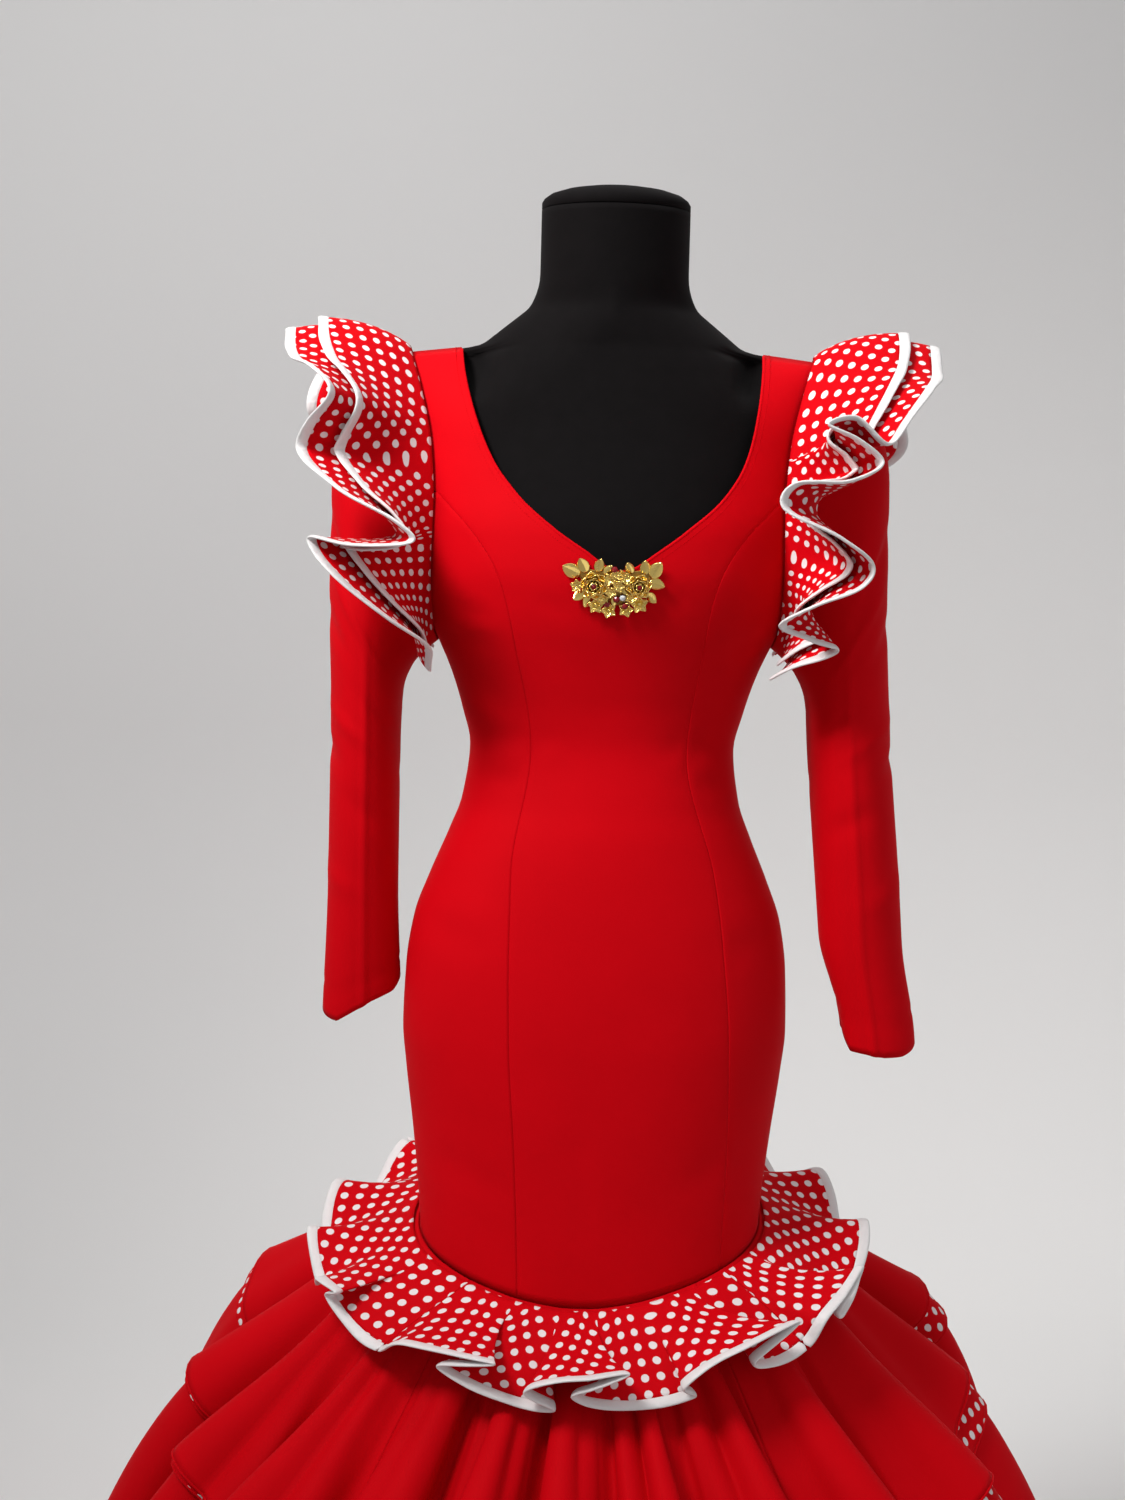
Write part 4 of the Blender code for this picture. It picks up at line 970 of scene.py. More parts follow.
# %% Sleeve sections
SLEEVE = {
    "R": np.array([
        # in_x   in_z   out_x   out_z  half depth, from the armhole down to the cuff
        (0.1620, 1.146, 0.2280, 1.388, 0.060),
        (0.1760, 1.130, 0.2530, 1.310, 0.062),
        (0.1840, 1.105, 0.2535, 1.200, 0.061),
        (0.1855, 1.055, 0.2500, 1.085, 0.056),
        (0.1850, 0.930, 0.2500, 0.935, 0.044),
        (0.1810, 0.841, 0.2530, 0.805, 0.028),
    ]),
    "L": np.array([
        (0.1620, 1.146, 0.2300, 1.388, 0.060),
        (0.1760, 1.130, 0.2560, 1.310, 0.062),
        (0.1860, 1.105, 0.2580, 1.200, 0.061),
        (0.1900, 1.055, 0.2645, 1.085, 0.056),
        (0.2020, 0.930, 0.2790, 0.935, 0.044),
        (0.2145, 0.800, 0.2920, 0.778, 0.028),
    ]),
}
SLEEVE_PLACES = np.array([0.0, 0.050, 0.125, 0.215, 0.310, 0.450, 0.565])
SLEEVE_GAP = 0.0006
SLEEVE_FOLDS = np.array([
    # share of the length, turn in degrees (90 is the front), half width along, across, lift
    (0.30, 40, 0.016, 0.9, -0.0030),
    (0.36, 70, 0.014, 1.0, 0.0024),
    (0.42, 30, 0.015, 0.8, -0.0028),
    (0.50, 120, 0.018, 0.9, -0.0022),
    (0.55, 60, 0.012, 1.1, 0.0022),
    (0.60, 20, 0.015, 0.8, -0.0026),
    (0.68, 100, 0.020, 0.9, -0.0018),
    (0.80, 50, 0.016, 1.0, 0.0016),
    (0.44, 250, 0.016, 1.0, -0.0028),
    (0.54, 290, 0.014, 0.9, 0.0024),
    (0.62, 230, 0.016, 1.0, -0.0024),
    (0.33, 320, 0.015, 0.8, -0.0024),
])
CUFF = {
    # turn in degrees, then how far the cuff stands out sideways and how far it drops, in mm
    "R": np.array([(0, 0, -6), (55, 0, 12), (105, 0, 8), (147, 0, 9), (180, 0, 0), (235, 0, 4),
                   (300, 0, 6)]),
    "L": np.array([(0, 7, -15), (50, 7, 1), (81, 8, 7), (139, 13, 13), (180, 15, -9), (230, 10, 4),
                   (300, 8, 2)]),
}
SLEEVE_COLUMNS = 80
SLEEVE_ROWS = 100
FOLD_REACH = 38             # degrees round the sleeve that a fold of width 1 takes
FOLD_SLOPE = 0.00035        # share of the length that a fold drops in each degree
PRESSED = (96, 276)         # turns of the two pressed creases
CREASE_LIFT = 0.0022
HEM_LINE = 0.962            # share of the length at which the cuff's hem is sewn
CUFF_FROM = 0.86            # and from which the cuff takes its own shape
print("sleeve", SLEEVE_PLACES[-1], "m long below the armhole")


# %% Sleeve maker
def sleeve_loop(side, turns):
    """The armhole's loop at turns round it: 0 is the shoulder, a half the underarm."""
    middle_z, half_z = (UNDERARM + SHOULDER_Z) / 2, (SHOULDER_Z - UNDERARM) / 2
    levels = middle_z + half_z * np.cos(turns)
    loop = body(side * armhole_x(levels), levels, np.sin(turns) < 0)
    loop[:, 0] += side * SLEEVE_GAP
    return loop


def sleeve_grid(tag, side):
    """Rings from the armhole to the cuff, each an oval: middle + cos * reach + sin * depth,
    carried from section to section by through()."""
    turns = np.linspace(0, 2 * np.pi, SLEEVE_COLUMNS, endpoint=False) + 1e-4
    cosine, sine = np.cos(turns)[:, None], -np.sin(turns)[:, None]
    rings = [sleeve_loop(side, turns)]
    for in_x, in_z, out_x, out_z, half_y in SLEEVE[tag]:
        middle = np.array([side * (in_x + out_x) / 2, 0, (in_z + out_z) / 2])
        reach = np.array([side * (out_x - in_x) / 2, 0, (out_z - in_z) / 2])
        rings.append(middle + cosine * reach + sine * np.array([0, half_y, 0]))
    at = SLEEVE_PLACES[-1] * np.linspace(0, 1, SLEEVE_ROWS)
    flat = np.array(rings).reshape(len(rings), -1)
    grid = np.stack([through(at, SLEEVE_PLACES, flat[:, k]) for k in range(flat.shape[1])], axis=-1)
    return grid.reshape(SLEEVE_ROWS, SLEEVE_COLUMNS, 3), turns


def off_turn(degrees, turn):
    """Angle from a turn, in degrees, the short way round."""
    return (degrees - turn + 180) % 360 - 180


def make_sleeve(tag, side):
    """The sleeve with its pressed crease, its elbow folds and a turned hem at the cuff."""
    grid, turns = sleeve_grid(tag, side)
    share, degrees = np.linspace(0, 1, SLEEVE_ROWS)[:, None], np.degrees(turns)[None, :]
    out, drop = (0.001 * np.interp(degrees[0], CUFF[tag][:, 0], CUFF[tag][:, k], period=360)
                 for k in (1, 2))
    reach = soft((share - CUFF_FROM) / (1 - CUFF_FROM))
    grid = grid + reach[..., None] * (np.array([side, 0, 0]) * out[:, None] - UP * drop[:, None])
    normals = turned_to(grid_normals(grid, around=True), grid - grid.mean(axis=1, keepdims=True))
    lift = np.zeros(grid.shape[:2])
    for place, turn, half, wide, rise in SLEEVE_FOLDS:
        off = off_turn(degrees, turn)
        sloped = share - place - FOLD_SLOPE * off
        lift += rise * np.exp(-(sloped / half) ** 2) * np.exp(-(off / (FOLD_REACH * wide)) ** 2)
    for crease in PRESSED:
        off = np.radians(off_turn(degrees, crease))
        lift += CREASE_LIFT * np.exp(-(off / 0.10) ** 2) * soft((share - 0.25) / 0.3)
    lift -= 0.0009 * np.exp(-((share - HEM_LINE) / 0.004) ** 2)
    lift *= soft(share / 0.08)
    middle = grid + normals * (lift - PANEL_CLOTH / 2)[..., None]
    piece = cloth("sleeve_cloth_" + tag, middle, normals, PANEL_CLOTH * DRAWN, around=True)
    dress_piece(piece, RED, "red_crepe", "sleeve_" + tag)


make_sleeve("R", -1)
make_sleeve("L", 1)

# %% [markdown]
# ## Flounces
# A flounce is a ring cut from flat cloth and sewn by its short inner edge, so its long
# outer edge has more length than room and swings to and fro. Here the hem is drawn as a
# path, the seam is the same path smoothed out, and the cloth is the surface between
# them. The flat cut gives the printed dots their places: round the ring in one
# direction, out from its centre in the other.


# %% Flat cut of a flounce
def ring_cut(seam, hem, depth, share):
    """UVs in metres of a ring sector: the inner radius is depth * s / (h - s) for seam and
    hem lengths s and h, the angle runs with the hem, and rows are shares of the depth."""
    seam_run, hem_run = lengths(seam), lengths(hem)
    inner = depth * seam_run[-1] / max(hem_run[-1] - seam_run[-1], 0.02)
    angle = hem_run / (inner + depth)
    radius = inner + depth * np.asarray(share)[:, None]
    return np.stack([radius * np.sin(angle)[None, :], radius * np.cos(angle)[None, :]], axis=-1)


def ring_area(uv):
    """Area of a flat cut, cell by cell: half the cross product of the diagonals."""
    a = uv[1:, 1:] - uv[:-1, :-1]
    b = uv[1:, :-1] - uv[:-1, 1:]
    return float(np.abs(a[..., 0] * b[..., 1] - a[..., 1] * b[..., 0]).sum() / 2)


print("a straight strip 1 m by 0.1 m has", ring_area(np.indices((2, 2)).T * [0.1, 1.0]), "m2")

# %% Binding
BINDING_WIDTH = 0.0105
BINDING_FLAT = 0.011        # half of the folded strip, laid flat
BINDING_SIDES = 12
FLOUNCE_DRAWN = 0.8         # the drawn wall, as a share of the solid's thickness


def binding(name, hem, outwards, normals):
    """A folded bias binding along a hem. Across it is a pressed oval, BINDING_WIDTH deep
    and about 3 mm thick, fuller at the outer fold than at the stitched edge. Its width
    and fullness waver along the hem, because bias stretches unevenly."""
    turn = np.linspace(0, 2 * np.pi, BINDING_SIDES, endpoint=False)
    run = lengths(hem)
    waver = 1 + 0.05 * np.sin(run / 0.021) + 0.035 * np.sin(run / 0.0083 + 1.7)
    reach = 0.5 - 0.5 * np.cos(turn)            # 0 at the stitched edge, 1 at the outer fold
    thick = np.sin(turn) * (0.00115 + 0.0007 * reach)
    depth = BINDING_WIDTH * (reach - 0.10)
    grid = (hem[:, None] + outwards[:, None] * depth[None, :, None] * waver[:, None, None]
            + normals[:, None] * thick[None, :, None] * (0.6 + 0.4 * waver)[:, None, None])
    ends = grid[[0, -1]]
    middle = ends.mean(axis=1, keepdims=True)
    grid[[0, -1]] = middle + 0.1 * (ends - middle)
    flat = np.stack(np.broadcast_arrays(run[:, None], (reach * BINDING_FLAT)[None, :]), axis=-1)
    points, quads = grid.reshape(-1, 3), capped(len(hem), BINDING_SIDES)
    return mesh_object(name, points, outward(points, quads), flat.reshape(-1, 2))


print("a binding stands", round(BINDING_WIDTH * 0.9, 4), "m past the hem")


# %% Bound flounce
def bound_flounce(names, nodes, middle, normals, outwards, cut, printed=1.0):
    """A flounce's dotted cloth and the binding on its hem, each with its own node; its UV map is
    the cut, as wide as the hem is long, with the area of its ring."""
    piece = cloth(names[0], middle, normals, FLOUNCE_CLOTH * FLOUNCE_DRAWN, cut * printed)
    dress_piece(piece, DOTTED, "dotted_crepe", nodes[0])
    edge = binding(names[1], middle[-1], outwards, normals[-1])
    dress_piece(edge, BINDING, "white_binding", nodes[1])


# %% [markdown]
# ### Shoulder flounces
# Each shoulder has a long flounce and a shorter one on top, both sewn into the armhole.
# The hem swings between straight outwards over the sleeve and square off it, forwards,
# upwards and backwards in turn.

# %% Shoulder folds
SHOULDER_FOLDS = {
    "R": np.array([
        # along  swing
        (-0.88, 87), (-0.80, 90), (-0.73, 72), (-0.67, 54), (-0.60, 37), (-0.60, 60), (-0.59, 84),
        (-0.56, 77), (-0.51, 52), (-0.42, 27), (-0.36, 36), (-0.31, 50), (-0.25, 40), (-0.18, 24),
        (-0.06, 11), (0.06, 12), (0.16, 42), (0.29, 18), (0.44, 62), (0.51, 76), (0.58, 38),
        (0.67, 28), (0.77, 62), (0.88, 84),
    ]),
    "L": np.array([
        (-0.88, 96), (-0.83, 78), (-0.80, 56), (-0.75, 80), (-0.72, 94), (-0.68, 80), (-0.65, 62),
        (-0.61, 58), (-0.57, 72), (-0.53, 94), (-0.49, 90), (-0.48, 69), (-0.44, 55), (-0.40, 66),
        (-0.37, 79), (-0.35, 68), (-0.395, 53), (-0.33, 43), (-0.23, 26), (-0.11, 10), (0.09, 8),
        (0.20, 46), (0.33, 18), (0.46, 60), (0.54, 80), (0.62, 34), (0.74, 58), (0.88, 84),
    ]),
}
LONG_FLOUNCE = 0.118        # depths
SHORT_FLOUNCE = 0.086
SWING_RANGE = (8, 98)       # degrees; the swings of the table are kept within it
ROOT_SWING = 35.0           # swing at the seam
ROOT_LIFT = 0.0031          # place of the seam off the armhole, forwards and outwards
ROOT_OUT = 0.0008
SEAM_REACH = 0.89           # share of the armhole that the seam takes
LAYER_GAP = 0.0028          # the short flounce lies this far off the long one at the seam
LAYER_GROWTH = 0.0052       # and this much more at full depth
TAPER_FROM = 0.62           # the cut narrows from here to there, by TAPER of its depth
TAPER_TO = 0.92
TAPER = 0.58
TOP_CUT = 0.12              # and by this on top of the shoulder
TOP_REACH = 0.16
LOOP_POINTS = 200           # of each half of the armhole
BELOW_ARM = 0.28            # metres that a place of 1 more goes straight down past the underarm
print("hem table rows:", {tag: len(table) for tag, table in SHOULDER_FOLDS.items()})


# %% Shoulder surface
def armhole_frame(along, side):
    """Points of the armhole's seam and its outward normals, at -1 to 1 from front to back."""
    rise = np.linspace(UNDERARM, SHOULDER_Z, LOOP_POINTS)
    levels = np.concatenate([rise, rise[-2::-1]])
    loop = body(armhole_x(levels), levels, np.arange(len(levels)) >= LOOP_POINTS)
    reach = lengths(loop)
    reach = reach / reach[LOOP_POINTS - 1] - 1
    reach[LOOP_POINTS:] /= reach[-1]
    tangent = np.gradient(loop, axis=0)
    normal = unit(np.stack([np.zeros(len(loop)), -tangent[:, 2], tangent[:, 1]], axis=1))
    for _ in range(60):
        normal[1:-1] = unit(normal[:-2] + normal[1:-1] + normal[2:])
    point, facing = placed_along(along, reach, loop), unit(placed_along(along, reach, normal))
    point[..., 2] -= np.clip(np.abs(along) - 1, 0, 1) * BELOW_ARM
    point[..., 0] *= side
    return point, facing


def running_mean(values, window, mode, **how):
    """Each value as the mean of itself and window neighbours on either side."""
    weights = np.ones(2 * window + 1) / (2 * window + 1)
    return np.convolve(np.pad(values, window, mode=mode, **how), weights, mode="valid")


def shoulder_surface(tag, side, share, depth, per_step=16):
    """The flounce at shares of its depth: the seam's point, plus depth along a direction
    that swings from outwards to the armhole's normal."""
    hem = smooth_path(SHOULDER_FOLDS[tag], per_step)
    along, swing = hem[:, 0], np.clip(hem[:, 1], *SWING_RANGE)
    seam = running_mean(along, 3 * per_step // 2, "reflect", reflect_type="odd")
    seam = SEAM_REACH * seam / np.abs(seam).max()
    narrowed = TAPER * soft((np.abs(along) - TAPER_FROM) / (TAPER_TO - TAPER_FROM))
    cut = depth * (1 - narrowed - TOP_CUT * np.exp(-(along / TOP_REACH) ** 2))
    rows = []
    for v in share:
        turn = np.radians(ROOT_SWING + (swing - ROOT_SWING) * min(v, 1.2) ** 0.8)
        point, facing = armhole_frame(seam + (along - seam) * v, side)
        rows.append(point + facing * (ROOT_LIFT + cut * v * np.sin(turn))[:, None]
                    + np.array([side, 0, 0]) * (ROOT_OUT + cut * v * np.cos(turn))[:, None])
    return np.array(rows)


def make_shoulder_flounce(tag, side, name, end, lift):
    """One flounce with its binding, as deep as end times the long flounce's cut."""
    share = np.linspace(0, end, 28)
    spread = np.append(share, end + 0.02)       # one row past the hem gives its direction
    middle = shoulder_surface(tag, side, spread, LONG_FLOUNCE)
    normals = grid_normals(middle)
    facing = armhole_frame(np.linspace(-0.9, 0.9, middle.shape[1]), side)[1]
    if (normals[0] * facing).sum() < 0:
        normals = -normals
    middle = middle + normals * (lift * (LAYER_GAP + LAYER_GROWTH * spread))[:, None, None]
    outwards = unit(middle[-1] - middle[-2])
    middle, normals = middle[:-1], normals[:-1]
    cut = ring_cut(middle[0], middle[-1], LONG_FLOUNCE * end, share / end)
    bound_flounce((f"shoulder_{name}_cloth_{tag}", f"shoulder_{name}_edge_{tag}"),
                  (f"shoulder_flounce_{name}_{tag}", f"binding_{name}_{tag}"),
                  middle, normals, outwards, cut)


for tag, side in (("R", -1), ("L", 1)):
    make_shoulder_flounce(tag, side, "long", 1.0, 0.0)
    make_shoulder_flounce(tag, side, "short", SHORT_FLOUNCE / LONG_FLOUNCE, 1.0)

# %% [markdown]
# ### Hip flounce
# The dotted flounce on the hip seam is pressed into flat folds in front: where its
# azimuth turns back, the cloth lies over itself like a Z.

# %% Hip folds
HIP_FOLDS = np.array([
    # azimuth, swing off the mean slope
    (-175, 12), (-164, -5), (-153, 13), (-142, -5), (-131, 13), (-120, -3), (-109, 14),
    (-99, -1), (-91, 12), (-82, -3), (-74, 10), (-65, 15), (-70, 5), (-62, -5),
    (-54, -4), (-44, 11), (-23, 17), (-36, 5), (-20, -7), (-9, -6), (-15, 4), (-6, 14),
    (9, 17), (-3, 5), (12, -7), (27, -7), (24, 3), (32, 14), (50, 17), (41, 5), (50, -7),
    (58, -6), (61, 10), (74, 17), (66, 5), (74, -6), (84, -3), (94, 14), (105, -4),
    (116, 13), (127, -4), (139, 13), (151, -5), (163, 13), (174, -5),
])
HIP_FLOUNCE = 0.092
HIP_LIFT = 0.0050           # place of its seam off the panels'
HIP_SLOPES = (55, 68, 86)   # degrees off straight down: front, sides, back
PRINT_SCALE = np.array([0.95, 0.86])    # the hip flounce's print is a little larger, and long
HIP_SECTORS = {"right": (8, 28), "front": (28, 62), "left": (62, 82), "back": (82, 98)}
HIP_FINE = 16               # points for each row of the table; sectors count half rows
print(len(HIP_FOLDS), "rows of hip folds")


# %% Rings round the dress
def by_azimuth(azimuth, front, side, behind):
    """A value that goes smoothly from the front over the sides to the back."""
    return through(np.abs(np.degrees(azimuth)), [0, 90, 180], [front, side, behind])


def ring_path(table, per_step, window):
    """A closed table of folds as a smooth ring: hem azimuth, second column, seam azimuth."""
    turn = np.array([360.0, 0.0])
    path = smooth_path(np.vstack([table[-4:] - turn, table, table[:4] + turn]), per_step)
    azimuth = np.radians(path[:, 0])
    seam = running_mean(azimuth, window, "edge")
    kept = slice(4 * per_step, (4 + len(table)) * per_step)
    return azimuth[kept], path[kept, 1], seam[kept]


def plan_direction(azimuth):
    """Horizontal unit vectors away from the dress's middle."""
    return np.stack([np.sin(azimuth), -np.cos(azimuth), np.zeros_like(azimuth)], axis=-1)


def sector(grid, first, last):
    """Columns first to last of a ring of columns, their ends drawn in by the seam's gap."""
    part = grid[:, np.arange(first, last + 1) % grid.shape[1]].copy()
    for end, beside in ((0, 1), (-1, -2)):
        part[:, end] += unit(part[:, beside] - part[:, end]) * GAP * 0.6
    return part


print("slope at 45 degrees round:", float(by_azimuth(np.radians(45), *HIP_SLOPES)))


# %% Hip flounce
def hip_surface(share, per_step):
    """The hip flounce at shares of its depth: out from the seam down a slope that swings,
    fold by fold, more with the share."""
    azimuth, swing, seam = ring_path(HIP_FOLDS, per_step, 3 * per_step)
    rows = []
    for v in share:
        at = seam + (azimuth - seam) * v
        slope = np.radians(by_azimuth(at, *HIP_SLOPES) + swing * min(v, 1.1) ** 0.8)
        outwards = plan_direction(at)
        down = outwards * np.sin(slope)[:, None] - UP * np.cos(slope)[:, None]
        rows.append(hip_seam(at) + outwards * HIP_LIFT + down * (HIP_FLOUNCE * v + 0.001))
    return np.array(rows)


def make_hip_flounce():
    """Four sectors of the flounce, each with its stretch of binding."""
    share = np.linspace(0, 1, 26)
    middle = hip_surface(np.append(share, 1.02), HIP_FINE)
    normals = turned_to(grid_normals(middle, around=True), UP)
    outwards = unit(middle[-1] - middle[-2])
    for name, ends in HIP_SECTORS.items():
        first, last = (end * HIP_FINE // 2 for end in ends)
        part, facing = sector(middle, first, last)[:-1], sector(normals, first, last)[:-1]
        cut = ring_cut(part[0], part[-1], HIP_FLOUNCE, share)
        bound_flounce(("hip_cloth_" + name, "hip_edge_" + name),
                      ("hip_flounce_" + name, "hip_binding_" + name), part, facing,
                      unit(sector(outwards[None], first, last)[0]), cut,
                      PRINT_SCALE)


make_hip_flounce()

# %% [markdown]
# ## Tiers and skirt
# The plain tier springs from the hip seam and stands out in deep soft folds; a dotted
# flounce peeks out under its hem, and the skirt falls on to the floor below both. All
# three are one draped surface: straight down its slope for the tier, then a cubic curve
# to the skirt's hem, with a wave of ridges laid round it.

# %% Ridge table
RIDGES = np.array([
    # azimuth in degrees, height of the wave in mm
    (-170, 28), (-148, 32), (-126, 36), (-106, 36), (-84, 34), (-62, 32), (-42, 28), (-22, 30),
    (-4, 26), (15, 30), (36, 28), (58, 32), (80, 34), (103, 36), (127, 36), (150, 30),
])
TIER_DEPTH = 0.310
TIER_SLOPES = [38, 36, 55, 64]      # degrees off straight down, at the azimuths below
SLOPE_PLACES = [0, 90, 130, 180]
HEM_RADII = (0.46, 0.53, 0.56)      # front, sides, back
HEM_Z = 0.050
HEM_SLOPE = np.radians(12.0)
FOLD_LEAN = 0.16
WAVE_GROWTH = 1.1
TIER_SECTORS = {"right": (10, 22), "front": (22, 42), "left": (42, 58), "back": (58, 74)}
SECTOR_UNIT = 4             # sectors count in quarters of a ridge
FINE_SAMPLES = 36           # points for each ridge
print(len(RIDGES), "ridges")


# %% The draped surface
def drape(fold, down):
    """The skirt's outer side. fold counts ridges round from behind; down is 0 at the hip
    seam, 1 at the plain tier's hem and 2 at the skirt's hem. The wave is its ridge height
    times down^WAVE_GROWTH times cos(2 pi fold)."""
    fold, down = np.broadcast_arrays(np.asarray(fold, float), np.asarray(down, float))
    places = np.arange(-2, len(RIDGES) + 2)
    closed = np.vstack([RIDGES[-2:] - [360, 0], RIDGES, RIDGES[:2] + [360, 0]])
    on_tier = np.minimum(down, 1.0)
    widened = fold + FOLD_LEAN * np.sin(4 * np.pi * fold) / 2 * on_tier
    azimuth = np.radians(through(widened, places, closed[:, 0]))
    azimuth_back = np.arctan2(np.sin(azimuth), np.cos(azimuth))
    slope = np.radians(through(np.abs(np.degrees(azimuth_back)), SLOPE_PLACES, TIER_SLOPES))
    outwards = plan_direction(azimuth)

    def along(angle, length):
        """A step of a length at an angle off straight down."""
        return outwards * (np.sin(angle) * length)[..., None] - UP * (np.cos(angle) * length)[..., None]

    seam = hip_seam(azimuth_back) - UP * 2 * GAP
    upper = seam + along(slope, on_tier * TIER_DEPTH)
    start = seam + along(slope, TIER_DEPTH)
    finish = outwards * by_azimuth(azimuth_back, *HEM_RADII)[..., None] + UP * HEM_Z
    length = np.linalg.norm(finish - start, axis=-1)
    leave, arrive = along(slope, length), along(HEM_SLOPE, length)
    t = np.clip(down - 1, 0, 1)[..., None]
    lower = (start * (1 + 2 * t) * (1 - t) ** 2 + leave * t * (1 - t) ** 2
             + finish * t * t * (3 - 2 * t) - arrive * t * t * (1 - t))
    lean = slope + (HEM_SLOPE - slope) * t[..., 0]
    proud = outwards * np.cos(lean)[..., None] + UP * np.sin(lean)[..., None]
    height = through(fold, places, closed[:, 1] * 0.001)
    wave = height * on_tier ** WAVE_GROWTH * np.cos(2 * np.pi * fold)
    return np.where(down[..., None] <= 1, upper, lower) + proud * wave[..., None]


def drape_layer(folds, downs, lifts, shorter):
    """Rows by columns of a layer that lies lifts off the skirt's outer side, with its
    normals. Its hem stops shorter by a share of the tier, one number for each column."""
    fold, down = np.meshgrid(folds, downs)
    down = down - np.linspace(0, 1, len(downs))[:, None] * shorter
    small = 0.004
    along = drape(fold + small, down) - drape(fold - small, down)
    fall = drape(fold, np.minimum(down + small, 2)) - drape(fold, np.maximum(down - small, 0))
    normals = turned_to(unit(np.cross(fall, along)), UP)
    return drape(fold, down) + normals * np.asarray(lifts)[:, None, None], normals


print("front ridge at the tier's hem:", drape(8.0, 1.0).round(3))

# %% [markdown]
# The big wave alone would look moulded. Four finer things make it cloth: narrow valleys
# that run down between soft rolls, small gathers that start at the seam and die away,
# shallow folds on the flanks of the ridges, and a hem that sways and is rolled, not cut
# off. The valleys and the sway are shared by all three layers, so they stay apart.


# %% Fine folds
VALLEY = 0.0220             # depths of the valleys and of the hem's sway
SWAY = 0.0110
FLANK = 0.0022


def ridge_azimuth(fold):
    """Azimuth in degrees of a place counted in ridges."""
    return np.interp(fold, np.arange(len(RIDGES) + 1), np.append(RIDGES[:, 0], RIDGES[0, 0] + 360))


def draws(folds, downs):
    """Lift shared by the layers. Valleys are bell shaped, five to every two ridges, up to
    VALLEY deep in front; at the sides the hem swells by SWAY between them, fading down the
    skirt."""
    fold, down = np.meshgrid(folds, downs)
    round_once = 2 * np.pi * fold / len(RIDGES)
    azimuth = ridge_azimuth(fold)
    place = 2.5 * fold + 0.26 * np.sin(3 * round_once + 1) + 0.20 * np.sin(7 * round_once)
    off = place - np.round(place)
    uneven = 0.62 + 0.38 * np.cos(np.pi * np.round(place) * 1.37)
    depth = VALLEY * uneven * (0.35 + 0.65 * np.exp(-(azimuth / 75) ** 2))
    fade = soft((down - 0.04) / 0.42) * (1 - 0.30 * soft(down - 0.9))
    side = np.exp(-((np.abs(azimuth) - 88) / 42) ** 2)
    sway = -SWAY * side * np.cos(2 * np.pi * off) * soft((down - 0.45) / 0.55)
    return sway * (1 - soft((down - 1.1) / 0.5)) - depth * np.exp(-(off / 0.21) ** 2) * fade


def cloth_detail(folds, downs, gather, flutter):
    """Extra lift of one layer: gathers are a fast uneven ripple that fades from the seam;
    flank folds are slower and strongest halfway; flutter grows towards the hem."""
    fold, down = np.meshgrid(folds, downs)
    round_once = 2 * np.pi * fold / len(RIDGES)

    def ripple(each, waver, turns, start=0.0, lean=0.0):
        """A wave, each times to a ridge, whose places waver turns times round the skirt."""
        place = each * fold + waver * np.sin(turns * round_once + start) + lean * down
        return np.sin(2 * np.pi * place)

    gathers = gather * ripple(3.0, 0.30, 5) * np.sin(4 * round_once + 0.6)
    flank = FLANK * ripple(2.0, 0.22, 3, 1, 0.10) * (0.6 + 0.4 * np.sin(7 * round_once))
    return (gathers * np.exp(-((down / 0.30) ** 1.5)) * soft(down / 0.03)
            + flank * np.sin(np.pi * np.clip(down / 1.1, 0, 1))
            + flutter * ripple(1.5, 0.2, 5) * soft((down - 0.5) / 0.6))


print("deepest valley", round(-1000 * float(draws(np.arange(0, 16, 0.05), [0.7]).min()), 1), "mm")

# %% Tier layers
PEEK_HIDDEN = (-92, 40, 0.075)      # azimuth, half width and depth of what the tier hides of the peek
TIER_LAYERS = {
    # name: finish, slot, downs from, to, rows, lift from, to, gathers, flutter, hem radius
    "skirt": (RED, "red_crepe", 0.0, 2.0, 72, -0.0006, -0.0006, 0.0006, 0.0, 0.0016),
    "peek_flounce": (DOTTED, "dotted_crepe", 0.93, 1.09, 14, 0.0055, 0.0062, 0.0, 0.0015, 0.0013),
    "tier": (RED, "red_crepe", 0.0, 1.0, 50, 0.0014, 0.0115, 0.0010, 0.0012, 0.0013),
}
FOLDS = np.arange(len(RIDGES) * FINE_SAMPLES) / FINE_SAMPLES


def layer(kind, downs, low, high, gather, flutter):
    """The grid of one layer and its normals: the drape, lifted and finely folded."""
    at, half, most = PEEK_HIDDEN
    hidden = most * np.exp(-((ridge_azimuth(FOLDS) - at) / half) ** 4)
    shorter = hidden if kind == "peek_flounce" else 0.0
    share = (downs - downs[0]) / (downs[-1] - downs[0])
    middle, normals = drape_layer(FOLDS, downs, low + (high - low) * share ** 0.8, shorter)
    detail = cloth_detail(FOLDS, downs, gather, flutter)
    if kind == "skirt":
        detail *= soft((downs[:, None] - 1.0) / 0.3) * 1.6
    return middle + normals * (detail + draws(FOLDS, downs))[..., None], normals, share


def tier_sector(kind, name, part, facing, cut, finish, slot, radius):
    """One sector's cloth, with its cut as its UV map, and its narrow rolled hem."""
    piece = cloth(f"{kind}_cloth_{name}", part, facing, FLOUNCE_CLOTH * FLOUNCE_DRAWN, cut)
    dress_piece(piece, finish, slot, f"{kind}_{name}")
    along = unit(np.gradient(part[-1], axis=0))
    hem = ribbon_tube(f"{kind}_hem_{name}", part[-1], facing[-1], along, radius, 0.8, 8)
    dress_piece(hem, finish, slot)


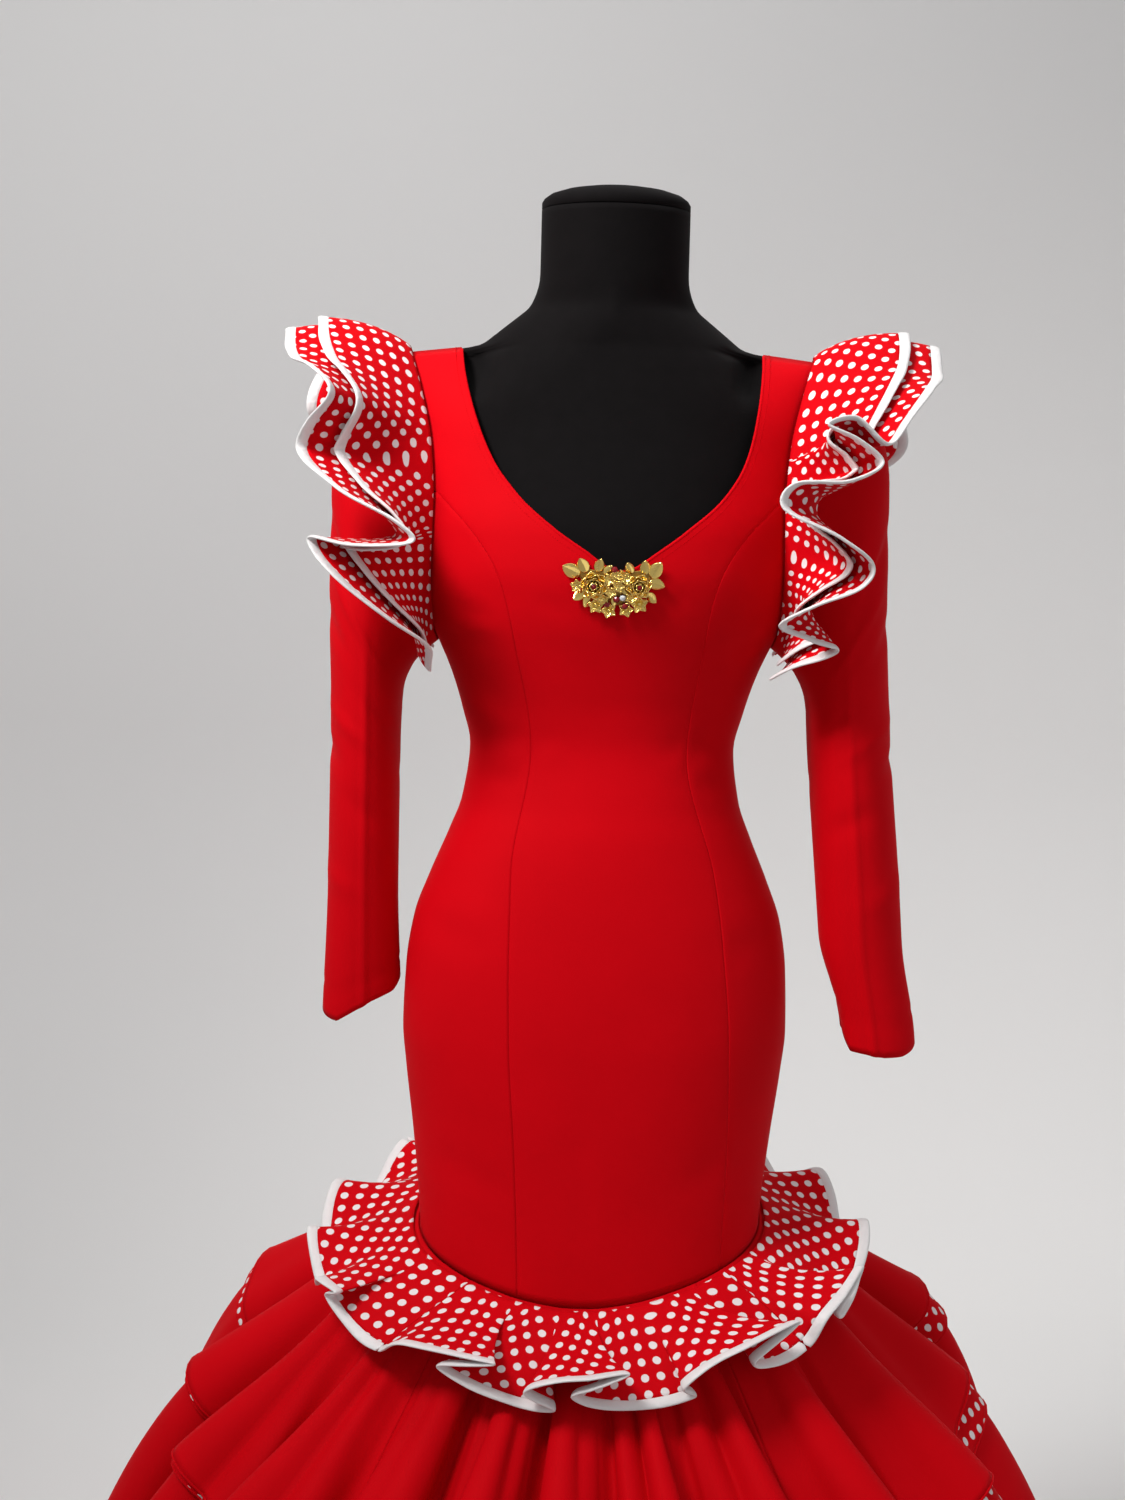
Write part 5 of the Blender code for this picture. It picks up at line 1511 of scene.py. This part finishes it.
def make_tiers():
    """The skirt, the dotted flounce and the plain tier, each in four sectors with its hem."""
    for kind, row in TIER_LAYERS.items():
        finish, slot, start, end, rows, low, high, gather, flutter, radius = row
        middle, normals, share = layer(kind, np.linspace(start, end, rows), low, high, gather, flutter)
        for name, ends in TIER_SECTORS.items():
            first, last = (k * FINE_SAMPLES // SECTOR_UNIT for k in ends)
            part, facing = sector(middle, first, last), sector(normals, first, last)
            cut = ring_cut(part[0], part[-1], (end - start) * TIER_DEPTH, share)
            tier_sector(kind, name, part, facing, cut, finish, slot, radius)


make_tiers()

# %% [markdown]
# ## Dress form
# The form is a padded torso without arms or head, under a tight jersey cover. It sits a
# few millimetres inside the dress and shows at the neckline, so its shoulders and neck
# are drawn as smooth rings. It stands on a pole and a round base.

# %% Form
FORM_CLEARANCE = 0.0060     # room between form and dress, and less on the shoulder
FORM_REST = 0.0004
FORM_BOTTOM = 0.600
NECK_RISE_X = 0.124         # the yoke climbs to the neck inside this, by NECK_RISE a metre
NECK_RISE = 0.80
NECK_RADIUS = 0.0675
NECK_TOP = 1.545
FORM_TOP = 1.459            # the highest ring of the shoulders
FORM_SHOULDER = SHOULDER_Z - PANEL_CLOTH - FORM_REST
YOKE_FROM = 1.40            # level above which the rings are closed over the shoulder


def form_row(z, turns):
    """One section of the form at height z: the body's section, drawn in by the clearance,
    and closed over the shoulder up to the neck."""
    half = half_width(z) - FORM_CLEARANCE
    if z > UNDERARM:
        half = min(half, armhole_x(z) + 0.008 - FORM_CLEARANCE)
    wide = half
    if z > YOKE_FROM:
        outer_reach = STRAP_X + (FORM_SHOULDER - z) / SHOULDER_FALL
        inner_reach = NECK_RISE_X - (z - FORM_SHOULDER) / NECK_RISE
        wide = min(half, outer_reach if z < FORM_SHOULDER else inner_reach)
    x = wide * np.sin(turns)
    out, behind = np.abs(x), np.cos(turns) < 0
    fall = np.where(out > NECK_RISE_X, SHOULDER_FALL * np.maximum(out - STRAP_X, 0),
                    NECK_RISE * (out - NECK_RISE_X))
    under = np.clip((FORM_SHOULDER - fall - z) / SHOULDER_ROUND, 0, 1)
    narrow = 1 - 0.64 * np.clip((z - 1.37) / 0.03, 0, 1) * np.clip((out - 0.105) / 0.02, 0, 1)
    depth = (depth_at(z, behind) - FORM_CLEARANCE) * bow(x / (half + 1e-9)) * narrow
    y = depth * np.sqrt(1 - (1 - under) ** 2) * np.where(behind, 1, -1)
    return np.stack([x, y, np.full_like(x, z)], axis=-1)


def closed_rings(name, rings):
    """A closed solid through rings of points: each end closes in a small ring and quads."""
    rings = np.asarray(rings)
    inner = [end.mean(axis=0) + (end - end.mean(axis=0)) * 0.002 for end in (rings[0], rings[-1])]
    grid = np.concatenate([inner[0][None], rings, inner[1][None]])
    points = grid.reshape(-1, 3)
    return mesh_object(name, points, outward(points, capped(*grid.shape[:2])))


def make_torso():
    """The torso's rings go on as the neck's, blended in over a quarter of its height; the
    yoke and neck are then smoothed three times, each ring with its neighbours."""
    turns = np.linspace(-np.pi, np.pi, 120, endpoint=False)
    heights = np.concatenate([np.linspace(FORM_BOTTOM, YOKE_FROM, 110),
                              np.linspace(YOKE_FROM + 0.003, FORM_TOP, 26)])
    rings = [form_row(z, turns) for z in heights]
    neck = NECK_RADIUS * plan_direction(turns)
    for t in np.linspace(0.08, 1, 16):
        rings.append(rings[len(heights) - 1] * (1 - soft(t / 0.25)) + neck * soft(t / 0.25))
        rings[-1][:, 2] = FORM_TOP + (NECK_TOP - FORM_TOP) * t
    grid = np.array(rings)
    for _ in range(3):
        grid[108:-2] = (grid[107:-3] + 2 * grid[108:-2] + grid[109:-1]) / 4
    dress_piece(closed_rings("form_torso_cover", grid), JERSEY, "black_jersey", "form_torso")


make_torso()

# %% Neck cap and stand
CAP = NECK_TOP + GAP
POLE_RADIUS = 0.0125
BOSS_TOP = 0.060
TURNED = {
    # name: finish, slot, node, columns, then rows of radius and height up the profile
    "form_neck_cover": (JERSEY, "black_jersey", "form_neck_cap", 64, [
        (NECK_RADIUS - 0.0012, CAP), (NECK_RADIUS, CAP + 0.0012), (NECK_RADIUS, CAP + 0.0060),
        (0.0655, CAP + 0.0095), (0.0600, CAP + 0.0135), (0.0480, CAP + 0.0175),
        (0.0330, CAP + 0.0202), (0.0160, CAP + 0.0216), (0.0040, CAP + 0.0220)]),
    "stand_base": (STEEL, "stand_metal", "form_base", 96, [
        (0.178, 0), (0.180, 0.002), (0.180, 0.008), (0.1785, 0.0107), (0.174, 0.012), (0.05, 0.012)]),
    "stand_boss": (STEEL, "stand_metal", "form_boss", 64, [
        (0.036, 0.012 + GAP), (0.0355, 0.016), (0.033, 0.021), (0.026, 0.026), (0.0205, 0.033),
        (0.0182, 0.042), (0.0180, 0.058), (0.0170, BOSS_TOP)]),
    "stand_pole": (STEEL, "stand_metal", "form_pole", 48, [
        (POLE_RADIUS, BOSS_TOP + GAP), (POLE_RADIUS, FORM_BOTTOM - GAP)]),
}


def lathe(name, profile, columns):
    """A turned solid from rows of radius and height."""
    turns = np.linspace(0, 2 * np.pi, columns, endpoint=False)
    return closed_rings(name, [np.stack([r * np.cos(turns), r * np.sin(turns), np.full(columns, z)], -1)
                               for r, z in profile])


for name, (finish, slot, stands_for, columns, profile) in TURNED.items():
    dress_piece(lathe(name, profile, columns), finish, slot, stands_for)

# %% [markdown]
# ## Brooch
# A cast spray: two roses on a thin back plate, leaves at the upper corners, four small
# blossoms along the foot, and cut glass set between them. A petal is one cupped patch;
# roses, leaves and blossoms are rings of it, joined into one mesh.

# %% Brooch places
BROOCH_X = 0.0060
BROOCH_HALF = 0.0430
BROOCH_TOP = 1.2300
BROOCH_BOTTOM = 1.1825
CASTING = 0.0006            # thickness of the cast petals
BROOCH_ROWS = {
    # kind: rows of across from the brooch's middle, level, radius, turn in degrees
    "rose": [(-0.0185, 1.2100, 0.0135, 15), (0.0199, 1.2100, 0.0122, -20)],
    "leaf": [(-0.0345, 1.2195, 0.0135, 151), (-0.0265, 1.223, 0.011, 118), (-0.015, 1.2235, 0.0095, 75),
             (-0.008, 1.2205, 0.0085, 50), (0.0325, 1.22, 0.013, 60), (0.032, 1.2125, 0.011, -12),
             (0.0255, 1.2225, 0.01, 95), (0.013, 1.2225, 0.0085, 118), (0.005, 1.2165, 0.008, 100),
             (0.0, 1.212, 0.008, -80), (0.008, 1.206, 0.0075, -60), (-0.0285, 1.2025, 0.0095, 215),
             (-0.022, 1.1985, 0.009, 240), (0.029, 1.202, 0.009, -42), (-0.001, 1.1985, 0.008, -95)],
    "blossom": [(-0.0164, 1.193, 0.0078, 0), (-0.0052, 1.189, 0.0076, 20), (0.0094, 1.19, 0.0074, -15),
                (0.0207, 1.195, 0.0086, 10)],
    "bud": [(-0.0330, 1.2095, 0.0064, 0), (-0.0039, 1.2050, 0.0060, 30), (0.0025, 1.2095, 0.0062, 60),
            (-0.0055, 1.2150, 0.0062, 20), (0.0085, 1.2160, 0.0060, 50), (-0.0100, 1.1985, 0.0056, 10),
            (0.0135, 1.2000, 0.0056, 40), (0.0000, 1.2185, 0.0052, 80)],
}
STONES = [
    # across, level, radius, lift, finish
    (-0.0185, 1.2100, 0.0030, 0.0112, GARNET), (0.0199, 1.2100, 0.0027, 0.0112, GARNET),
    (-0.0010, 1.2229, 0.0028, 0.0058, GARNET), (-0.0068, 1.1941, 0.0028, 0.0058, GARNET),
    (0.0011, 1.1987, 0.0029, 0.0058, GARNET), (0.0086, 1.1928, 0.0027, 0.0058, GARNET),
    (0.0065, 1.2000, 0.0026, 0.0058, CLEAR),
]


def brooch_frame(across, level, lift, degrees=0.0):
    """Place, outward normal, sideways and upward directions on the panel under the brooch,
    the last two turned about the normal."""
    turn = turn_of(BROOCH_X + across, level)
    skin, normal = body_at(turn, level), body_normal(turn, level)
    side = unit(np.cross(UP, normal))
    upward = np.cross(normal, side)
    a = math.radians(degrees)
    return (skin + normal * lift, normal, side * math.cos(a) + upward * math.sin(a),
            upward * math.cos(a) - side * math.sin(a))


print("brooch at", brooch_frame(0.0, 1.2, 0.0)[0].round(3))


# %% Petals
def petal_patch(length, width, cup, curl, tip, rows=9, columns=9):
    """A cupped patch: its outline is width * sin(pi * t^tip), it rises by cup towards its
    sides and by curl towards its end."""
    t = np.linspace(0.02, 0.98, rows)[:, None]
    s = np.linspace(-1, 1, columns)[None, :]
    half = width / 2 * np.sin(np.pi * t ** tip) ** 0.8
    x = s * half
    y = length * t * np.ones_like(s)
    z = cup * (s ** 2) * np.sin(np.pi * t) + curl * t ** 2 + 0.04 * cup * np.cos(9 * s) * t
    return np.stack([x, y, z], axis=-1)


def placed_patches(patch, turns, lean, lift=0.0, scale=1.0):
    """Copies of a patch leant up, lifted and turned about the flower's middle."""
    made = []
    for turn, size in zip(turns, np.broadcast_to(scale, len(turns))):
        x, y, z = np.moveaxis(patch * size, -1, 0)
        y, z = y * math.cos(lean) - z * math.sin(lean), y * math.sin(lean) + z * math.cos(lean) + lift
        made.append(np.stack([x * math.cos(turn) - y * math.sin(turn),
                              x * math.sin(turn) + y * math.cos(turn), z], axis=-1))
    return made


def rose_patches(radius):
    """Four rings of petals, from wide and flat outside to steep round the heart."""
    made = []
    rings = [
        # petals, length, width, lean, lift, first turn
        (6, 1.02, 1.05, 12, 0.0000, 0), (6, 0.82, 0.80, 32, 0.0013, 33), (5, 0.62, 0.66, 50, 0.0024, 10),
        (5, 0.44, 0.46, 56, 0.0029, 50),
    ]
    for count, long, wide, lean, lift, first in rings:
        patch = petal_patch(radius * long, radius * wide, radius * 0.25, radius * 0.20, 0.72)
        turns = np.radians(first + 360 / count * np.arange(count))
        uneven = 1 + 0.06 * np.sin(3 * turns + first)
        made += placed_patches(patch, turns, math.radians(lean), lift, uneven)
    return made


def leaf_patches(radius):
    """One pointed leaf with a midrib, folded a little along it."""
    patch = petal_patch(radius * 1.30, radius * 0.98, -radius * 0.22, radius * 0.14, 0.85, 13, 13)
    patch[..., 1] -= radius * 0.32
    rib = np.exp(-(patch[..., 0] / (radius * 0.05)) ** 2) * radius * 0.05
    veins = 0.012 * radius * np.sin(40 * patch[..., 1] / radius - 22 * np.abs(patch[..., 0]) / radius)
    patch[..., 2] += rib + veins
    return placed_patches(patch, [-math.pi / 2], 0.12)


def bud_patches(radius):
    """Five petals, like a bud that has just opened."""
    patch = petal_patch(radius, radius * 0.85, radius * 0.22, radius * 0.16, 0.62)
    return placed_patches(patch, np.radians(72 * np.arange(5)), 0.25)


def dome(radius, height, rings=5, columns=14):
    """A low dome: radius * sin and height * cos of an angle from its top down to its rim."""
    t = np.linspace(0.02, np.pi / 2, rings)[:, None]
    turn = np.linspace(0, 2 * np.pi, columns)[None, :]
    return np.stack([radius * np.sin(t) * np.cos(turn), radius * np.sin(t) * np.sin(turn),
                     height * np.cos(t) * np.ones_like(turn)], axis=-1)


def blossom_patches(radius):
    """The petals of a bud round a bead."""
    return bud_patches(radius) + [dome(radius * 0.26, radius * 0.30)]


print("a rose has", len(rose_patches(0.012)), "petals")


# %% Casting the brooch
def solid_patches(name, patches, frames, thickness):
    """Join patches into one mesh, each a thin closed shell, laid out on its own frame."""
    points, quads, base = [], [], 0
    for patch, (place, normal, side, upward) in zip(patches, frames):
        world = (place + patch[..., :1] * side + patch[..., 1:2] * upward + patch[..., 2:] * normal)
        half = turned_to(grid_normals(world), normal) * thickness / 2
        both = np.vstack([(world + half).reshape(-1, 3), (world - half).reshape(-1, 3)])
        points.append(both)
        quads.append(outward(both, shell(cells(*world.shape[:2]), len(both) // 2)) + base)
        base += len(both)
    return mesh_object(name, np.vstack(points), np.vstack(quads))


def back_plate():
    """The plate: a net on the panel between an upper and a lower outline, roughly cast."""
    share = np.linspace(-1, 1, 45)
    top = BROOCH_TOP - 0.009 + 0.003 * np.abs(share) - 0.004 * np.abs(share) ** 8
    bottom = BROOCH_BOTTOM + 0.009 + 0.030 * np.abs(share) ** 1.6 + 0.0012 * np.cos(12 * share)
    down = np.linspace(0, 1, 16)[:, None]
    level = top * (1 - down) + bottom * down
    x = BROOCH_X + BROOCH_HALF * 0.80 * share[None, :] * np.ones_like(level)
    turns = turn_of(x, level)
    skin, normal = body_at(turns, level), body_normal(turns, level)
    rough = 0.0003 * np.sin(x * 1900) * np.sin(level * 2100)
    return wall("brooch_back", skin + normal * (0.0022 + rough)[..., None], skin + normal * 0.0006)


def make_brooch():
    """Plate, foliage, roses and stones."""
    # The plate's darker gilt is painted shade, for the shade under the flowers.
    dress_piece(back_plate(), PAINTED_SHADE_GILT, "gold", "brooch_plate")
    patches, frames = [], []
    for kind, flower, lift in (("leaf", leaf_patches, 0.0034), ("blossom", blossom_patches, 0.0040),
                               ("bud", bud_patches, 0.0050)):
        for across, level, radius, turn in BROOCH_ROWS[kind]:
            made = flower(radius)
            patches += made
            frames += [brooch_frame(across, level, lift, turn)] * len(made)
    dress_piece(solid_patches("brooch_foliage", patches, frames, CASTING), GILT, "gold")
    for tag, (across, level, radius, turn) in zip(("R", "L"), BROOCH_ROWS["rose"]):
        made = rose_patches(radius)
        frames = [brooch_frame(across, level, 0.0034, turn)] * len(made)
        dress_piece(solid_patches("brooch_petals_" + tag, made, frames, CASTING), GILT, "gold",
                    "brooch_rose_" + tag)
    for number, (across, level, radius, lift, finish) in enumerate(STONES):
        gem = solid_patches(f"brooch_stone_{number}", [dome(radius, radius * 0.8, 4, 9)],
                            [brooch_frame(across, level, lift)], 0.0005)
        dress_piece(faceted(gem), finish, "gold")


make_brooch()

# %% [markdown]
# ## Zip
# A concealed zip closes the centre back. Only its slider and pull show, and the chain
# lies between the two panels' turned edges. The pull is the one piece that moves.

# %% Zip
SLIDER_TOP = 1.281
PULL_PIVOT = np.array([0.0, 0.1071, 1.278])


def rounded_block(name, low, high, bevel):
    """A block with rounded edges: a cube's mesh with a bevel modifier."""
    corners = np.array([[(low[0], high[0])[i], (low[1], high[1])[j], (low[2], high[2])[k]]
                        for i in (0, 1) for j in (0, 1) for k in (0, 1)])
    quads = np.array([(0, 1, 3, 2), (4, 6, 7, 5), (0, 4, 5, 1), (2, 3, 7, 6), (0, 2, 6, 4),
                      (1, 5, 7, 3)])
    made = mesh_object(name, corners, outward(corners, quads))
    edge = made.modifiers.new("edge", "BEVEL")
    edge.width = bevel
    edge.segments = 3
    return made


print("the slider ends at", SLIDER_TOP, "m")


# %% Pull and chain
TAB_POINTS = 48
TAB_HALF = 0.0007           # half the tab's thickness
CHAIN_HALF = 0.0013
CHAIN_SUNK = 0.0009         # the chain lies this far inside the panels' face
CHAIN_THICK = 0.0006
SLIDER_HALF = 0.0034
SLIDER_LENGTH = 0.0106


def make_pull():
    """The tab: a drop outline round a hole, carried from its back face to its front one."""
    turn = np.linspace(0, 2 * np.pi, TAB_POINTS, endpoint=False)
    across, up = np.cos(turn), np.sin(turn)
    outer = np.stack([(0.0026 + 0.0004 * soft((up + 1) / 2)) * across, -0.00935 + 0.01065 * up], axis=-1)
    inner = np.stack([0.0014 * across, -0.0140 + 0.0030 * up], axis=-1)
    around = ((outer, -TAB_HALF), (outer, TAB_HALF), (inner, TAB_HALF), (inner, -TAB_HALF))
    grid = np.array([np.stack([outline[:, 0], np.full(TAB_POINTS, y), outline[:, 1]], axis=-1)
                     for outline, y in around])
    index = np.arange(4 * TAB_POINTS).reshape(4, TAB_POINTS)
    quads = quads_between(np.pad(index, ((0, 1), (0, 1)), mode="wrap"))
    points = (grid + PULL_PIVOT).reshape(-1, 3)
    return faceted(mesh_object("zip_tab", points, outward(points, quads)))


def make_zip():
    """Chain, slider and pull."""
    levels = np.linspace(ZIP_BOTTOM + 2 * GAP, BACK_NECK_LEVEL, 260)
    x = np.linspace(-CHAIN_HALF, CHAIN_HALF, 7)[None, :]
    outer = body(x, levels[:, None], True)
    teeth = 0.0003 * np.abs(np.sin(levels * 2200))[:, None] * (1 - (x / CHAIN_HALF) ** 2)
    outer = outer + np.stack([0 * teeth, teeth - CHAIN_SUNK, 0 * teeth], axis=-1)
    inner = outer - np.array([0, CHAIN_THICK, 0])
    dress_piece(wall("zip_teeth", outer, inner), ZIP, "zip_metal", "zip_chain")
    skin = float(body(0.0, PULL_PIVOT[2], True)[1])
    top = SLIDER_TOP - 0.0002
    slider = rounded_block("zip_slider_body", (-SLIDER_HALF, skin + GAP, top - SLIDER_LENGTH),
                           (SLIDER_HALF, skin + 0.0043, top), 0.0009)
    dress_piece(slider, ZIP, "zip_metal", "zip_slider")
    dress_piece(make_pull(), ZIP, "zip_metal", "zip_pull", body="pull")


make_zip()
